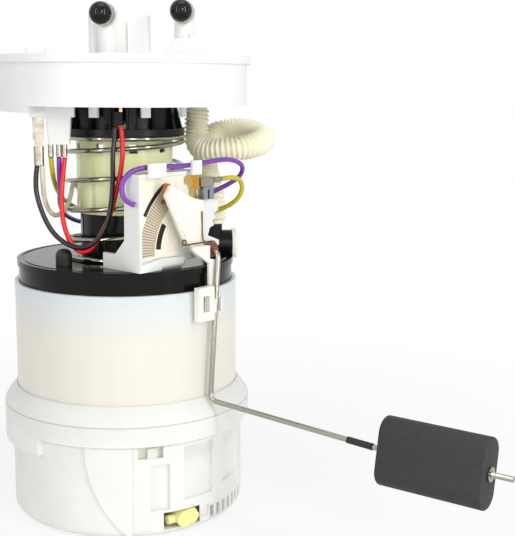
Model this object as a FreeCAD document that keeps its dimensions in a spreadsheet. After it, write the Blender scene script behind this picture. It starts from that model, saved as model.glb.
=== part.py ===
import FreeCAD, Part
import math
import os
import Sketcher

# In-tank fuel pump module: a sprung swirl pot with an electric pump in it, hung under a tank flange, and a
# level sender with a float arm. Millimetres, +Z up, origin at the centre of the pot's underside.

Vector = FreeCAD.Vector
Z_AXIS = Vector(0, 0, 1)
doc = FreeCAD.newDocument("FuelPump")
sheet = doc.addObject("Spreadsheet::Sheet", "Sizes")


class Size:
    """A number together with the sheet formula that gives it."""

    def __init__(self, value, text):
        self.value = float(value)
        self.text = text

    def __float__(self):
        return self.value

    def __add__(self, other):
        other = as_size(other)
        return Size(self.value + other.value, f"({self.text} + {other.text})")

    def __sub__(self, other):
        other = as_size(other)
        return Size(self.value - other.value, f"({self.text} - {other.text})")

    def __mul__(self, other):
        other = as_size(other)
        return Size(self.value * other.value, f"({self.text} * {other.text})")

    def __truediv__(self, other):
        other = as_size(other)
        return Size(self.value / other.value, f"({self.text} / {other.text})")

    def __neg__(self):
        return Size(-self.value, f"(0 - {self.text})")

    def __radd__(self, other):
        return as_size(other) + self

    def __rsub__(self, other):
        return as_size(other) - self

    def __rmul__(self, other):
        return as_size(other) * self


def as_size(number):
    if isinstance(number, Size):
        return number
    return Size(number, f"({float(number)})")


sheet_rows = []


def size(name, value, meaning):
    """Write one driving size into the sheet and hand it back."""
    sheet_rows.append(name)
    row = len(sheet_rows)
    sheet.set(f"A{row}", name)
    sheet.set(f"B{row}", str(value))
    sheet.set(f"C{row}", meaning)
    sheet.setAlias(f"B{row}", name)
    return Size(value, f"Sizes.{name}")


slip_gap = size("slip_gap", 0.2, "gap between pieces that slide into each other by hand")
touch_gap = size("touch_gap", 0.3, "gap between pieces that move past each other")
bearing_gap = size("bearing_gap", 0.06, "radial play of a pin in its bore")

bucket_radius = size("bucket_radius", 59.5, "outside of the pot's clear upper part")
bucket_wall = size("bucket_wall", 2.0, "wall and floor of the pot")
bucket_rim = size("bucket_rim", 125.0, "level of the pot's rim")
bucket_foot_radius = size("bucket_foot_radius", 57.0, "outside of the pot where it sinks into the lower shell")
shoulder_level = size("shoulder_level", 38.0, "level of the step between the pot's two radii")
bucket_floor_level = size("bucket_floor_level", 12.0, "underside of the pot's floor")
bucket_rib_top = size("bucket_rib_top", 86.0, "top of the thin upright ribs inside the pot")
bucket_rib_width = size("bucket_rib_width", 1.0, "thickness of those ribs")
bucket_rib_depth = size("bucket_rib_depth", 2.0, "how far they stand in from the wall")
bucket_rib_count = size("bucket_rib_count", 24, "number of those ribs")
ledge_depth = size("ledge_depth", 2.6, "ledge inside the pot that carries the lid's skirt")

shell_wall = size("shell_wall", 2.8, "wall of the white lower shell at its top")
shell_floor = size("shell_floor", 2.5, "floor of the lower shell")
shell_edge = size("shell_edge", 5.0, "rounding of the lower shell's bottom edge")
inlet_radius = size("inlet_radius", 3.0, "fuel inlets in the lower shell's floor")
inlet_ring = size("inlet_ring", 12.0, "distance of those inlets from the axis")
inlet_count = size("inlet_count", 8, "number of inlets in the floor")
collar_radius = size("collar_radius", 66.5, "outside of the flared collar")
collar_wall = size("collar_wall", 1.8, "wall of the collar")
collar_bottom = size("collar_bottom", 47.5, "level where the collar starts to flare")
collar_flare = size("collar_flare", 2.5, "height of the flare")
collar_top = size("collar_top", 59.7, "level of the collar's edge")
apron_bottom = size("apron_bottom", 40.8, "lower edge of the collar's deeper stretch")
panel_proud = size("panel_proud", 1.2, "how far the curved side panel stands out")
panel_top = size("panel_top", 49.0, "upper edge of the side panel")
panel_left = size("panel_left", 22.5, "side panel's reach to the left at its top")
panel_sweep = size("panel_sweep", 62.0, "radius of the side panel's curved edge")
groove_radius = size("groove_radius", 4.5, "radius of the upright flute beside the panel")
recess_depth = size("recess_depth", 2.2, "depth of the square recesses in the lower shell")
comb_pitch = size("comb_pitch", 4.6, "spacing of the inlet comb's slots in degrees")
comb_count = size("comb_count", 7, "number of slots in the inlet comb")

lid_radius = size("lid_radius", 58.0, "rim of the black lid")
lid_top = size("lid_top", 136.7, "level of the lid's top face")
lid_plate = size("lid_plate", 2.2, "thickness of the lid's plate")
lid_rim_height = size("lid_rim_height", 3.2, "height of the lid's overhanging rim")
skirt_wall = size("skirt_wall", 2.0, "wall of the lid's skirt")
skirt_bottom = size("skirt_bottom", 117.0, "lower edge of the lid's skirt")
lid_groove = size("lid_groove", 0.6, "depth of the shallow groove inside the lid's rim")

canister_radius = size("canister_radius", 24.0, "outside of the fluted pump canister")
canister_wall = size("canister_wall", 1.8, "wall of the canister")
canister_top = size("canister_top", 176.0, "level of the canister's closed end")
flute_radius = size("flute_radius", 1.6, "radius of the canister's upright flutes")
flute_count = size("flute_count", 16, "number of flutes")

motor_radius = size("motor_radius", 19.4, "radius of the pump's steel can")
motor_bottom = size("motor_bottom", 38.0, "lower end of the steel can")
motor_top = size("motor_top", 90.0, "upper end of the steel can")
isolator_wall = size("isolator_wall", 2.5, "wall of the rubber ring round the pump")
isolator_height = size("isolator_height", 10.0, "height of the rubber ring")
spigot_radius = size("spigot_radius", 3.5, "pump's outlet spigot")
nipple_radius = size("nipple_radius", 5.0, "pump's inlet nipple")
delivery_wall = size("delivery_wall", 1.0, "wall of the nylon delivery tube")
delivery_level = size("delivery_level", 118.0, "level of the delivery tube's level run")
delivery_bend = size("delivery_bend", 8.0, "bend radius of the delivery tube")

regulator_out = size("regulator_out", 48.5, "regulator's distance to the right of the axis")
regulator_back = size("regulator_back", 7.0, "regulator's distance behind the axis")
regulator_radius = size("regulator_radius", 7.6, "radius of the regulator's body")
regulator_height = size("regulator_height", 141.0, "level of the regulator's axis")
regulator_stem = size("regulator_stem", 5.0, "radius of the stem through the lid")

guide_radius = size("guide_radius", 25.6, "outside of the clear green guide sleeve")
guide_wall = size("guide_wall", 1.1, "wall of the guide sleeve")
guide_bottom = size("guide_bottom", 161.0, "lower edge of the guide sleeve")
guide_top = size("guide_top", 208.0, "upper edge of the guide sleeve")
seat_radius = size("seat_radius", 32.0, "ring that the spring bears on")
seat_bottom = size("seat_bottom", 202.0, "underside of that ring")
seat_ring = size("seat_ring", 3.3, "thickness of that ring")
seat_wall = size("seat_wall", 2.2, "wall of the black spring seat's drum")
seat_bay_turn = size("seat_bay_turn", -4.0, "direction of the cable bay, from the front, in degrees")
fin_width = size("fin_width", 1.6, "thickness of the spring seat's fins")

flange_bottom = size("flange_bottom", 217.3, "lower edge of the tank flange")
flange_top = size("flange_top", 242.5, "top face of the tank flange")
flange_radius = size("flange_radius", 67.2, "lip of the tank flange")
flange_lip = size("flange_lip", 4.0, "thickness of the lip")
spigot_outside = size("spigot_outside", 65.2, "outside of the wall that goes into the tank")
flange_wall = size("flange_wall", 2.5, "walls of the flange")
flange_rib = size("flange_rib", 1.6, "thickness of the ribs under the flange")
flange_rib_count = size("flange_rib_count", 12, "number of ribs under the flange")
hook_width = size("hook_width", 4.6, "width of the hooks that hold the spring seat")
hook_reach = size("hook_reach", 5.9, "how far those hooks hang below the flange")

tower_length = size("tower_length", 32.0, "connector tower, left to right")
tower_depth = size("tower_depth", 20.0, "connector tower, front to back")
tower_height = size("tower_height", 20.5, "connector tower, height above the flange")
tower_wall = size("tower_wall", 2.0, "wall of the connector tower")
tower_shift = size("tower_shift", -1.6, "connector tower's middle, left of the axis")
pin_width = size("pin_width", 2.3, "connector pin")
pin_pitch = size("pin_pitch", 6.0, "spacing of the connector pins")

port_radius = size("port_radius", 3.95, "fuel pipe spigot")
port_riser = size("port_riser", 5.2, "radius of the pipe's upright part")
port_turn = size("port_turn", 8.0, "direction of both pipes, left of the front, in degrees")
supply_level = size("supply_level", 262.6, "axis level of the supply pipe")
return_level = size("return_level", 264.6, "axis level of the return pipe")
cap_radius = size("cap_radius", 5.7, "outside of the black port caps")
cap_start = size("cap_start", 9.9, "open end of the port caps, from the riser's axis")
cap_length = size("cap_length", 9.0, "straight length of the port caps")

spring_wire = size("spring_wire", 2.5, "wire of the coil spring")
spring_radius = size("spring_radius", 31.0, "mean radius of the coil spring")

sender_turn = size("sender_turn", 42.0, "direction that the sender faces, right of the front, in degrees")
sender_face = size("sender_face", 46.5, "distance of the sender's front plate from the axis")
sender_plate = size("sender_plate", 2.0, "thickness of the sender's front plate")
sender_left = size("sender_left", 35.4, "sender's reach to the left")
sender_top = size("sender_top", 185.0, "top edge of the sender's plate")
sender_side = size("sender_side", 2.2, "thickness of the sender's side cheek")
rail_proud = size("rail_proud", 2.8, "how far the sender's rails stand out from its plate")
card_thickness = size("card_thickness", 0.8, "ceramic card")
print_thickness = size("print_thickness", 0.15, "thick-film prints on the card")
track_inner = size("track_inner", 29.0, "inside radius of the resistor track")
track_outer = size("track_outer", 39.0, "outside radius of the resistor track")
pivot_side = size("pivot_side", 5.3, "pivot's distance to the right on the sender")
pivot_level = size("pivot_level", 144.6, "pivot's level")
bush_radius = size("bush_radius", 2.5, "hub bush in the sender's boss")
boss_wall = size("boss_wall", 1.9, "wall of the sender's boss")
boss_front = size("boss_front", 53.2, "distance of the boss's end from the axis")
lever_back = size("lever_back", 53.8, "back face of the wiper lever")
lever_thickness = size("lever_thickness", 2.2, "wiper lever")
lever_low_back = size("lever_low_back", 60.0, "back face of the lever's lower arm")
clip_back = size("clip_back", 61.2, "back face of the rod clip")
clip_thickness = size("clip_thickness", 3.6, "rod clip, front to back")

rod_radius = size("rod_radius", 1.35, "float rod")
rod_out = size("rod_out", 63.6, "distance of the rod's upright run from the axis")
rod_knee_side = size("rod_knee_side", 1.1, "rod's lower bend, to the right on the sender")
rod_knee_level = size("rod_knee_level", 72.5, "level of the rod's lower bend")
rod_bend = size("rod_bend", 4.5, "bend radius of the rod")
rod_turn = size("rod_turn", 47.0, "direction of the rod's outer run, right of the front, in degrees")
rod_reach = size("rod_reach", 98.0, "length of the sloping run")
rod_end_level = size("rod_end_level", 62.0, "level of the float's axis")
rod_tip = size("rod_tip", 68.0, "length of the run that holds the float")
float_length = size("float_length", 55.0, "float, along its rod")
float_height = size("float_height", 27.5, "float, across its round ends")
float_width = size("float_width", 17.0, "float, across its flat sides")
float_tilt = size("float_tilt", 11.0, "lean of the float about its rod, in degrees")
float_start = size("float_start", 4.5, "start of the float on its run")

lead_radius = size("lead_radius", 1.25, "insulation of the leads")
hose_radius = size("hose_radius", 6.6, "corrugated return hose, over its ribs")
doc.recompute()


def bind(thing, place, value):
    """Tie one property to the sheet."""
    thing.setExpression(place, as_size(value).text)


def origin_feature(body, role):
    return [feature for feature in body.Origin.OriginFeatures if feature.Role == role][0]


def new_body(name):
    body = doc.addObject("PartDesign::Body", name)
    body.Label = name
    return body


def turn_about_z(thing, angle):
    """Face a sub-part to the right of the front by a bound angle."""
    thing.Placement = FreeCAD.Placement(Vector(0, 0, 0), FreeCAD.Rotation(Z_AXIS, float(angle) or 1.0))
    bind(thing, "Placement.Rotation.Angle", angle)


def move_to(thing, x, y, z):
    bind(thing, "Placement.Base.x", x)
    bind(thing, "Placement.Base.y", y)
    bind(thing, "Placement.Base.z", z)


def attach(body, name, plane, offset=0, turn=None):
    """New sketch on one of the body's own origin planes, moved along it or turned about its upright."""
    sketch = body.newObject("Sketcher::SketchObject", name)
    sketch.AttachmentSupport = [(origin_feature(body, plane), "")]
    sketch.MapMode = "FlatFace"
    if turn is not None:
        quarter = FreeCAD.Rotation(Vector(0, 1, 0), float(turn) or 1.0)
        sketch.AttachmentOffset = FreeCAD.Placement(Vector(0, 0, 0), quarter)
        bind(sketch, "AttachmentOffset.Rotation.Angle", turn)
    else:
        bind(sketch, "AttachmentOffset.Base.z", offset)
    return sketch


def hold(sketch, constraint, name, value):
    """Add a constraint and tie it to the sheet."""
    index = sketch.addConstraint(constraint)
    sketch.renameConstraint(index, name)
    bind(sketch, f"Constraints.{name}", value)


def draw_outline(sketch, corners):
    """Closed outline. A corner with a third value starts an arc of that radius, negative for clockwise."""
    count = len(corners)
    places = [Vector(float(corner[0]), float(corner[1]), 0) for corner in corners]
    ends = []
    for index, corner in enumerate(corners):
        start = places[index]
        end = places[(index + 1) % count]
        if len(corner) == 2:
            sketch.addGeometry(Part.LineSegment(start, end), False)
            ends.append((1, 2))
            continue
        radius = abs(float(corner[2]))
        clockwise = float(corner[2]) < 0
        chord = end - start
        left = Vector(-chord.y, chord.x, 0).normalize()
        height = math.sqrt(max(radius ** 2 - (chord.Length / 2) ** 2, 0))
        centre = (start + end) * 0.5 + left * (-height if clockwise else height)
        first, last = (end, start) if clockwise else (start, end)
        low = math.atan2(first.y - centre.y, first.x - centre.x)
        high = math.atan2(last.y - centre.y, last.x - centre.x)
        sketch.addGeometry(Part.ArcOfCircle(Part.Circle(centre, Z_AXIS, radius), low, high), False)
        ends.append((2, 1) if clockwise else (1, 2))
    for index in range(count):
        following = (index + 1) % count
        joint = Sketcher.Constraint("Coincident", index, ends[index][1], following, ends[following][0])
        sketch.addConstraint(joint)
    for index, corner in enumerate(corners):
        end = ends[index][0]
        across = Sketcher.Constraint("DistanceX", -1, 1, index, end, places[index].x)
        up = Sketcher.Constraint("DistanceY", -1, 1, index, end, places[index].y)
        hold(sketch, across, f"across_{index}", corner[0])
        hold(sketch, up, f"up_{index}", corner[1])
        if len(corner) == 3:
            radius = corner[2] if float(corner[2]) > 0 else -corner[2]
            hold(sketch, Sketcher.Constraint("Radius", index, abs(float(radius))), f"bow_{index}", radius)


def draw_circle(sketch, x, y, radius):
    index = sketch.addGeometry(Part.Circle(Vector(float(x), float(y), 0), Z_AXIS, float(radius)), False)
    hold(sketch, Sketcher.Constraint("DistanceX", -1, 1, index, 3, float(x)), f"across_{index}", x)
    hold(sketch, Sketcher.Constraint("DistanceY", -1, 1, index, 3, float(y)), f"up_{index}", y)
    hold(sketch, Sketcher.Constraint("Radius", index, float(radius)), f"radius_{index}", radius)


def full_turn(body, name, corners):
    """Revolve a half section (radius, level) about the body's own upright axis."""
    sketch = attach(body, name + "_profile", "XZ_Plane")
    draw_outline(sketch, corners)
    feature = body.newObject("PartDesign::Revolution", name)
    feature.Profile = sketch
    feature.ReferenceAxis = (sketch, ["V_Axis"])
    feature.Angle = 360
    return feature


def sector(body, name, corners, start, span, cut=False):
    """Part of a turn; start is measured from the front towards the right, in degrees."""
    sketch = attach(body, name + "_profile", "XZ_Plane", turn=start - 90)
    draw_outline(sketch, corners)
    feature = body.newObject("PartDesign::Groove" if cut else "PartDesign::Revolution", name)
    feature.Profile = sketch
    feature.ReferenceAxis = (sketch, ["V_Axis"])
    bind(feature, "Angle", span)
    return feature


def extrude(body, name, plane, shape, length, offset=0, cut=False, reverse=False):
    """Pad or pocket an outline, or a circle given as ("circle", x, y, radius)."""
    sketch = attach(body, name + "_outline", plane, offset)
    if shape[0] == "circle":
        draw_circle(sketch, *shape[1:])
    else:
        draw_outline(sketch, shape)
    feature = body.newObject("PartDesign::Pocket" if cut else "PartDesign::Pad", name)
    feature.Profile = sketch
    feature.Reversed = reverse
    bind(feature, "Length", length)
    return feature


def pocket(body, name, plane, shape, length, offset=0):
    """Cut on the same side of the sketch as a pad would fill."""
    return extrude(body, name, plane, shape, length, offset, cut=True, reverse=True)


def round_array(body, name, feature, count):
    pattern = body.newObject("PartDesign::PolarPattern", name)
    pattern.Originals = [feature]
    pattern.Axis = (origin_feature(body, "Z_Axis"), [""])
    pattern.Angle = 360
    bind(pattern, "Occurrences", count)
    body.Tip = pattern
    return pattern


def row_array(body, name, feature, role, length, count):
    pattern = body.newObject("PartDesign::LinearPattern", name)
    pattern.Originals = [feature]
    pattern.Direction = (origin_feature(body, role), [""])
    bind(pattern, "Length", length)
    bind(pattern, "Occurrences", count)
    body.Tip = pattern
    return pattern


def round_edges(body, name, radius, is_wanted):
    """Fillet the edges of the finished body whose middle point passes the test."""
    doc.recompute()
    base = body.Tip
    names = []
    for index, edge in enumerate(base.Shape.Edges):
        middle = edge.valueAt((edge.FirstParameter + edge.LastParameter) / 2)
        if is_wanted(edge, middle):
            names.append(f"Edge{index + 1}")
    fillet = body.newObject("PartDesign::Fillet", name)
    fillet.Base = (base, names)
    bind(fillet, "Radius", radius)
    return fillet


def rectangle(x0, y0, x1, y1):
    return [(x0, y0), (x1, y0), (x1, y1), (x0, y1)]


def solid_feature(name, shape):
    feature = doc.addObject("Part::Feature", name)
    feature.Shape = shape
    return feature


def joined(name, pieces):
    fusion = doc.addObject("Part::MultiFuse", name)
    fusion.Shapes = pieces
    fusion.Refine = True
    return fusion


def rounded_path(points, radius=None):
    """Straight runs joined by tangent arcs; without a radius each arc is as large as its runs allow."""
    corners = [Vector(*[float(value) for value in point]) for point in points]
    edges = []
    radii = []
    start = corners[0]
    for before, corner, after in zip(corners, corners[1:], corners[2:]):
        incoming = (corner - before).normalize()
        outgoing = (after - corner).normalize()
        half_turn = incoming.getAngle(outgoing) / 2
        shorter = min((corner - before).Length, (after - corner).Length)
        bend = 0.45 * shorter / math.tan(half_turn) if radius is None else float(radius)
        cut_back = bend * math.tan(half_turn)
        arc_start = corner - incoming * cut_back
        arc_end = corner + outgoing * cut_back
        inward = (outgoing - incoming).normalize()
        middle = corner + inward * (bend / math.cos(half_turn) - bend)
        edges.append(Part.LineSegment(start, arc_start).toShape())
        edges.append(Part.Arc(arc_start, middle, arc_end).toShape())
        radii.append(round(bend, 1))
        start = arc_end
    edges.append(Part.LineSegment(start, corners[-1]).toShape())
    return Part.Wire(edges), radii


def tube_along(path, radius):
    """Solid round bar along a wire."""
    first = path.OrderedEdges[0]
    start = first.valueAt(first.FirstParameter)
    direction = first.tangentAt(first.FirstParameter)
    section = Part.Wire([Part.makeCircle(float(radius), start, direction)])
    return path.makePipeShell([section], True, False)


def sender_point(side, out, level):
    """World place of a point given in the sender's own frame."""
    turn = math.radians(float(sender_turn))
    side, out, level = float(side), float(out), float(level)
    across = side * math.cos(turn) + out * math.sin(turn)
    along = side * math.sin(turn) - out * math.cos(turn)
    return (across, along, level)


# Lower shell
shell_bore = bucket_radius + slip_gap
foot_bore = bucket_foot_radius + slip_gap
shell_radius = shell_bore + shell_wall
gutter_floor = collar_bottom + collar_flare * 2
shell_body = new_body("shell_turned")
full_turn(shell_body, "shell_wall_turn", [
    (0, 0),
    (shell_radius, 0),
    (shell_radius, collar_bottom),
    (collar_radius, collar_bottom + collar_flare),
    (collar_radius, collar_top),
    (collar_radius - collar_wall, collar_top),
    (collar_radius - collar_wall, gutter_floor),
    (shell_bore, gutter_floor),
    (shell_bore, shoulder_level),
    (foot_bore, shoulder_level),
    (foot_bore, shell_floor),
    (0, shell_floor),
])
round_edges(shell_body, "shell_bottom_edge", shell_edge,
            lambda edge, middle: abs(middle.z) < 0.01 and abs(middle.x) + abs(middle.y) > float(foot_bore))
inlet_hole = pocket(shell_body, "inlet_hole", "XY_Plane", ("circle", inlet_ring, 0, inlet_radius), shell_floor + 4,
                    offset=-2)
round_array(shell_body, "inlet_holes", inlet_hole, inlet_count)
sector(shell_body, "collar_apron",
       rectangle(shell_radius - 1, apron_bottom, collar_radius, collar_bottom + collar_flare * 2), -112, 68)
groove_side = -panel_left - groove_radius * 1.1
extrude(shell_body, "side_flute", "XY_Plane",
        ("circle", groove_side, -(shell_radius + groove_radius * 0.35), groove_radius),
        collar_bottom - 2, offset=-1, cut=True, reverse=True)
sector(shell_body, "hook_window", rectangle(shell_bore - 1, 42, shell_radius + 3, 49.5), 4.1, 11.9, cut=True)
sector(shell_body, "narrow_recess",
       rectangle(shell_radius - recess_depth, 14, shell_radius + 3, 38.5), 9.7, 9.6, cut=True)
sector(shell_body, "wide_recess",
       rectangle(shell_radius - recess_depth, 17.5, shell_radius + 3, 46), 26.4, 18, cut=True)
sector(shell_body, "bottom_recess",
       rectangle(shell_radius - recess_depth / 2, 5.5, shell_radius + 3, 11.5), 17, 24, cut=True)
sector(shell_body, "side_recess",
       rectangle(shell_radius - recess_depth, 20, shell_radius + 3, 46), 52, 14, cut=True)
for index in range(int(float(comb_count))):
    sector(shell_body, f"comb_slot_{index}",
           rectangle(foot_bore - 1, 3.5, shell_radius + 3, 10), 42 + comb_pitch * index, comb_pitch * 0.55,
           cut=True)
extrude(shell_body, "nozzle_opening", "XZ_Plane", rectangle(17.1, 3.2, 36, 12.5), 20, offset=42,
        cut=True, reverse=True)
hook_body = new_body("window_hook")
sector(hook_body, "hook_tongue", rectangle(shell_bore, 41, shell_bore + 1.6, 47), 8.5, 4.5)
sector(hook_body, "hook_nose", [(shell_bore + 1.2, 44.5), (shell_bore + 3.4, 44.5), (shell_bore + 1.2, 47)],
       8.5, 4.5)
panel_ring = new_body("panel_ring")
full_turn(panel_ring, "panel_ring_turn",
          rectangle(shell_radius - 0.8, 1.2, shell_radius + panel_proud, panel_top))
panel_block = new_body("panel_block")
extrude(panel_block, "panel_block_pad", "XZ_Plane", [
    (0, 1),
    (1, 1),
    (1, panel_top + 1),
    (-panel_left, panel_top + 1, panel_sweep),
], shell_radius + 6)
side_panel = doc.addObject("Part::MultiCommon", "side_panel")
side_panel.Shapes = [panel_ring, panel_block]
lower_shell = joined("lower_shell", [shell_body, side_panel, hook_body])

# Clear upper part of the pot
bucket_inner = bucket_radius - bucket_wall
upper_bucket = new_body("upper_bucket")
full_turn(upper_bucket, "bucket_turn", [
    (0, bucket_floor_level),
    (bucket_foot_radius, bucket_floor_level),
    (bucket_foot_radius, shoulder_level),
    (bucket_radius, shoulder_level),
    (bucket_radius, bucket_rim),
    (bucket_inner, bucket_rim),
    (bucket_inner, skirt_bottom),
    (bucket_inner - ledge_depth, skirt_bottom),
    (bucket_inner - ledge_depth, skirt_bottom - 1),
    (bucket_inner, skirt_bottom - 1 - ledge_depth),
    (bucket_inner, shoulder_level + bucket_wall),
    (bucket_foot_radius - bucket_wall, shoulder_level + bucket_wall),
    (bucket_foot_radius - bucket_wall, bucket_floor_level + bucket_wall),
    (0, bucket_floor_level + bucket_wall),
])
bucket_rib = extrude(upper_bucket, "bucket_rib", "XY_Plane",
                     rectangle(bucket_foot_radius - bucket_wall - bucket_rib_depth, -bucket_rib_width / 2,
                               bucket_inner + 0.5, bucket_rib_width / 2),
                     bucket_rib_top - shoulder_level - bucket_wall, offset=shoulder_level + bucket_wall)
round_array(upper_bucket, "bucket_ribs", bucket_rib, bucket_rib_count)
valve_stem = size("valve_stem", 1.5, "stem of the rubber foot valve")
pocket(upper_bucket, "valve_stem_hole", "XY_Plane", ("circle", 0, 0, valve_stem + 0.1), 10,
       offset=bucket_floor_level - 4)
valve_port = pocket(upper_bucket, "valve_port", "XY_Plane", ("circle", 5.2, 0, 1.7), 10,
                    offset=bucket_floor_level - 4)
round_array(upper_bucket, "valve_ports", valve_port, 6)
bucket_floor = bucket_floor_level + bucket_wall

foot_valve = new_body("foot_valve")
full_turn(foot_valve, "valve_turn", [
    (0, bucket_floor_level - 3),
    (1, bucket_floor_level - 3),
    (2.3, bucket_floor_level),
    (valve_stem, bucket_floor_level),
    (valve_stem, bucket_floor),
    (8.4, bucket_floor),
    (8.4, bucket_floor + 0.5),
    (2.4, bucket_floor + 1.5),
    (0, bucket_floor + 1.5),
])

# Jet pump nozzle that fills the pot, seen at the lower shell's edge
jet_nozzle = new_body("jet_nozzle")
extrude(jet_nozzle, "nozzle_barrel", "XZ_Plane", ("circle", 0, 7.6, 4.1), 14)
extrude(jet_nozzle, "nozzle_cheek", "XZ_Plane", [(0, 3.6), (6.4, 3.6, 6), (9.4, 8), (7, 11.8), (0, 11.7)], 12)
extrude(jet_nozzle, "nozzle_tip", "YZ_Plane", ("circle", -9, 7.2, 2.4), 8, offset=-8)
extrude(jet_nozzle, "nozzle_pipe", "YZ_Plane", ("circle", 6, 7.6, 2.6), 12, offset=-12)
extrude(jet_nozzle, "nozzle_neck", "XZ_Plane", ("circle", 0, 7.6, 3.2), 10, offset=-9)
turn_about_z(jet_nozzle, 26)
move_to(jet_nozzle, 22, -45, 0)

# Lid
skirt_radius = bucket_inner - touch_gap
canister_hole = canister_radius + slip_gap
lid = new_body("lid")
full_turn(lid, "lid_turn", [
    (canister_hole, lid_top - lid_plate),
    (skirt_radius - skirt_wall, lid_top - lid_plate),
    (skirt_radius - skirt_wall, skirt_bottom),
    (skirt_radius, skirt_bottom),
    (skirt_radius, lid_top - lid_rim_height),
    (lid_radius, lid_top - lid_rim_height),
    (lid_radius, lid_top),
    (lid_radius - 1.4, lid_top),
    (lid_radius - 2, lid_top - lid_groove),
    (lid_radius - 3.2, lid_top - lid_groove),
    (lid_radius - 3.8, lid_top),
    (canister_hole + 2, lid_top),
    (canister_hole + 2, lid_top + 1.2),
    (canister_hole, lid_top + 1.2),
])
grommet_side = size("grommet_side", -31.8, "lead grommet, left of the axis")
grommet_front = size("grommet_front", -28.0, "lead grommet, in front of the axis")
peg_radius = size("peg_radius", 2.0, "pegs that hold the sender on the lid")
pocket(lid, "regulator_hole", "XY_Plane",
       ("circle", regulator_out, regulator_back, regulator_stem + slip_gap), 12, offset=lid_top - 8)
pocket(lid, "regulator_notch", "XY_Plane",
       rectangle(regulator_out - 2.3, regulator_back - 8.6, lid_radius + 2, regulator_back + 8.6), 8,
       offset=regulator_height - regulator_radius - 0.4)
pocket(lid, "lead_hole", "XY_Plane", ("circle", -17.4, 21.4, lead_radius + 0.1), 12, offset=lid_top - 8)
pocket(lid, "grommet_hole", "XY_Plane", ("circle", grommet_side, grommet_front, 3.2), 12, offset=lid_top - 8)
peg_out = sender_face - 5.5
for index, side in enumerate((-26.0, -8.0)):
    x, y, level = sender_point(side, peg_out, lid_top)
    pocket(lid, f"peg_hole_{index}", "XY_Plane", ("circle", x, y, peg_radius + 0.05), 12, offset=lid_top - 8)

lid_grommet = new_body("lid_grommet")
full_turn(lid_grommet, "grommet_turn", [
    (0, lid_top - 5),
    (2.2, lid_top - 5),
    (3.9, lid_top - lid_plate),
    (3.1, lid_top - lid_plate),
    (3.1, lid_top),
    (4.2, lid_top),
    (4.2, lid_top + 4.4, 3.6),
    (0.6, lid_top + 8),
    (0, lid_top + 8),
])
move_to(lid_grommet, grommet_side, grommet_front, 0)

# Fluted canister that holds the pump and guides the flange
canister_bore = canister_radius - canister_wall
pump_canister = new_body("pump_canister")
full_turn(pump_canister, "canister_turn", [
    (canister_bore, bucket_floor),
    (canister_radius + 4, bucket_floor),
    (canister_radius + 4, bucket_floor + 2),
    (canister_radius, bucket_floor + 2),
    (canister_radius, canister_top - 2),
    (canister_radius - 2, canister_top),
    (0, canister_top),
    (0, canister_top - 2),
    (canister_bore, canister_top - 2),
    (canister_bore, motor_bottom - 2),
    (canister_bore - 4.6, motor_bottom - 2),
    (canister_bore - 4.6, motor_bottom - 4),
    (canister_bore, motor_bottom - 6),
])
flute = pocket(pump_canister, "flute", "XY_Plane",
               ("circle", canister_radius + flute_radius * 0.55, 0, flute_radius),
               canister_top - lid_top + 5, offset=lid_top + 2)
round_array(pump_canister, "flutes", flute, flute_count)
inlet_slot = pocket(pump_canister, "inlet_slot", "YZ_Plane", rectangle(-5, bucket_floor - 1, 5, bucket_floor + 12),
                    20, offset=canister_bore - 4)
round_array(pump_canister, "inlet_slots", inlet_slot, 6)
delivery_outside = spigot_radius + delivery_wall + 0.1
pocket(pump_canister, "delivery_hole", "YZ_Plane",
       ("circle", regulator_back * 0.48, delivery_level, delivery_outside + touch_gap), 20,
       offset=canister_bore - 6)

pump_motor = new_body("pump_motor")
full_turn(pump_motor, "motor_turn", [
    (0, motor_bottom + 3),
    (motor_radius - 2, motor_bottom + 3),
    (motor_radius - 2, motor_bottom),
    (motor_radius - 1, motor_bottom),
    (motor_radius, motor_bottom + 1.5),
    (motor_radius, motor_top - 1.5),
    (motor_radius - 1, motor_top),
    (motor_radius - 2, motor_top),
    (motor_radius - 2, motor_top - 3),
    (0, motor_top - 3),
])

pump_head = new_body("pump_head")
full_turn(pump_head, "head_turn", [
    (0, motor_top - 3),
    (motor_radius - 2, motor_top - 3),
    (motor_radius - 2, motor_top + 3),
    (motor_radius - 5, motor_top + 7),
    (spigot_radius + 2, motor_top + 7),
    (spigot_radius + 2, motor_top + 9),
    (spigot_radius, motor_top + 10),
    (spigot_radius, motor_top + 20),
    (spigot_radius - 1.2, motor_top + 20),
    (spigot_radius - 1.2, motor_top + 8),
    (0, motor_top + 8),
])

pump_blades = new_body("pump_blades")
for side in (-1, 1):
    extrude(pump_blades, f"blade_{side + 1}", "XY_Plane",
            rectangle(side * 10 - 0.4, -3.15, side * 10 + 0.4, 3.15), 8, offset=motor_top + 7)

pump_inlet = new_body("pump_inlet")
inlet_bottom = motor_bottom - 13
full_turn(pump_inlet, "inlet_turn", [
    (nipple_radius - 1.5, inlet_bottom),
    (nipple_radius, inlet_bottom),
    (nipple_radius, motor_bottom - 4.5),
    (motor_radius - 4.6, motor_bottom - 3),
    (motor_radius - 4.6, motor_bottom),
    (motor_radius - 2, motor_bottom),
    (motor_radius - 2, motor_bottom + 3),
    (0, motor_bottom + 3),
    (0, motor_bottom),
    (nipple_radius - 1.5, motor_bottom - 2),
])

isolator_lip = motor_radius - 3.6
isolator_outside = motor_radius + isolator_wall
pump_isolator = new_body("pump_isolator")
full_turn(pump_isolator, "isolator_turn", [
    (isolator_lip, motor_bottom - 2),
    (isolator_outside, motor_bottom - 2),
    (isolator_outside, motor_bottom + isolator_height),
    (motor_radius + 0.1, motor_bottom + isolator_height),
    (motor_radius + 0.1, motor_bottom),
    (isolator_lip, motor_bottom),
])

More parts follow.
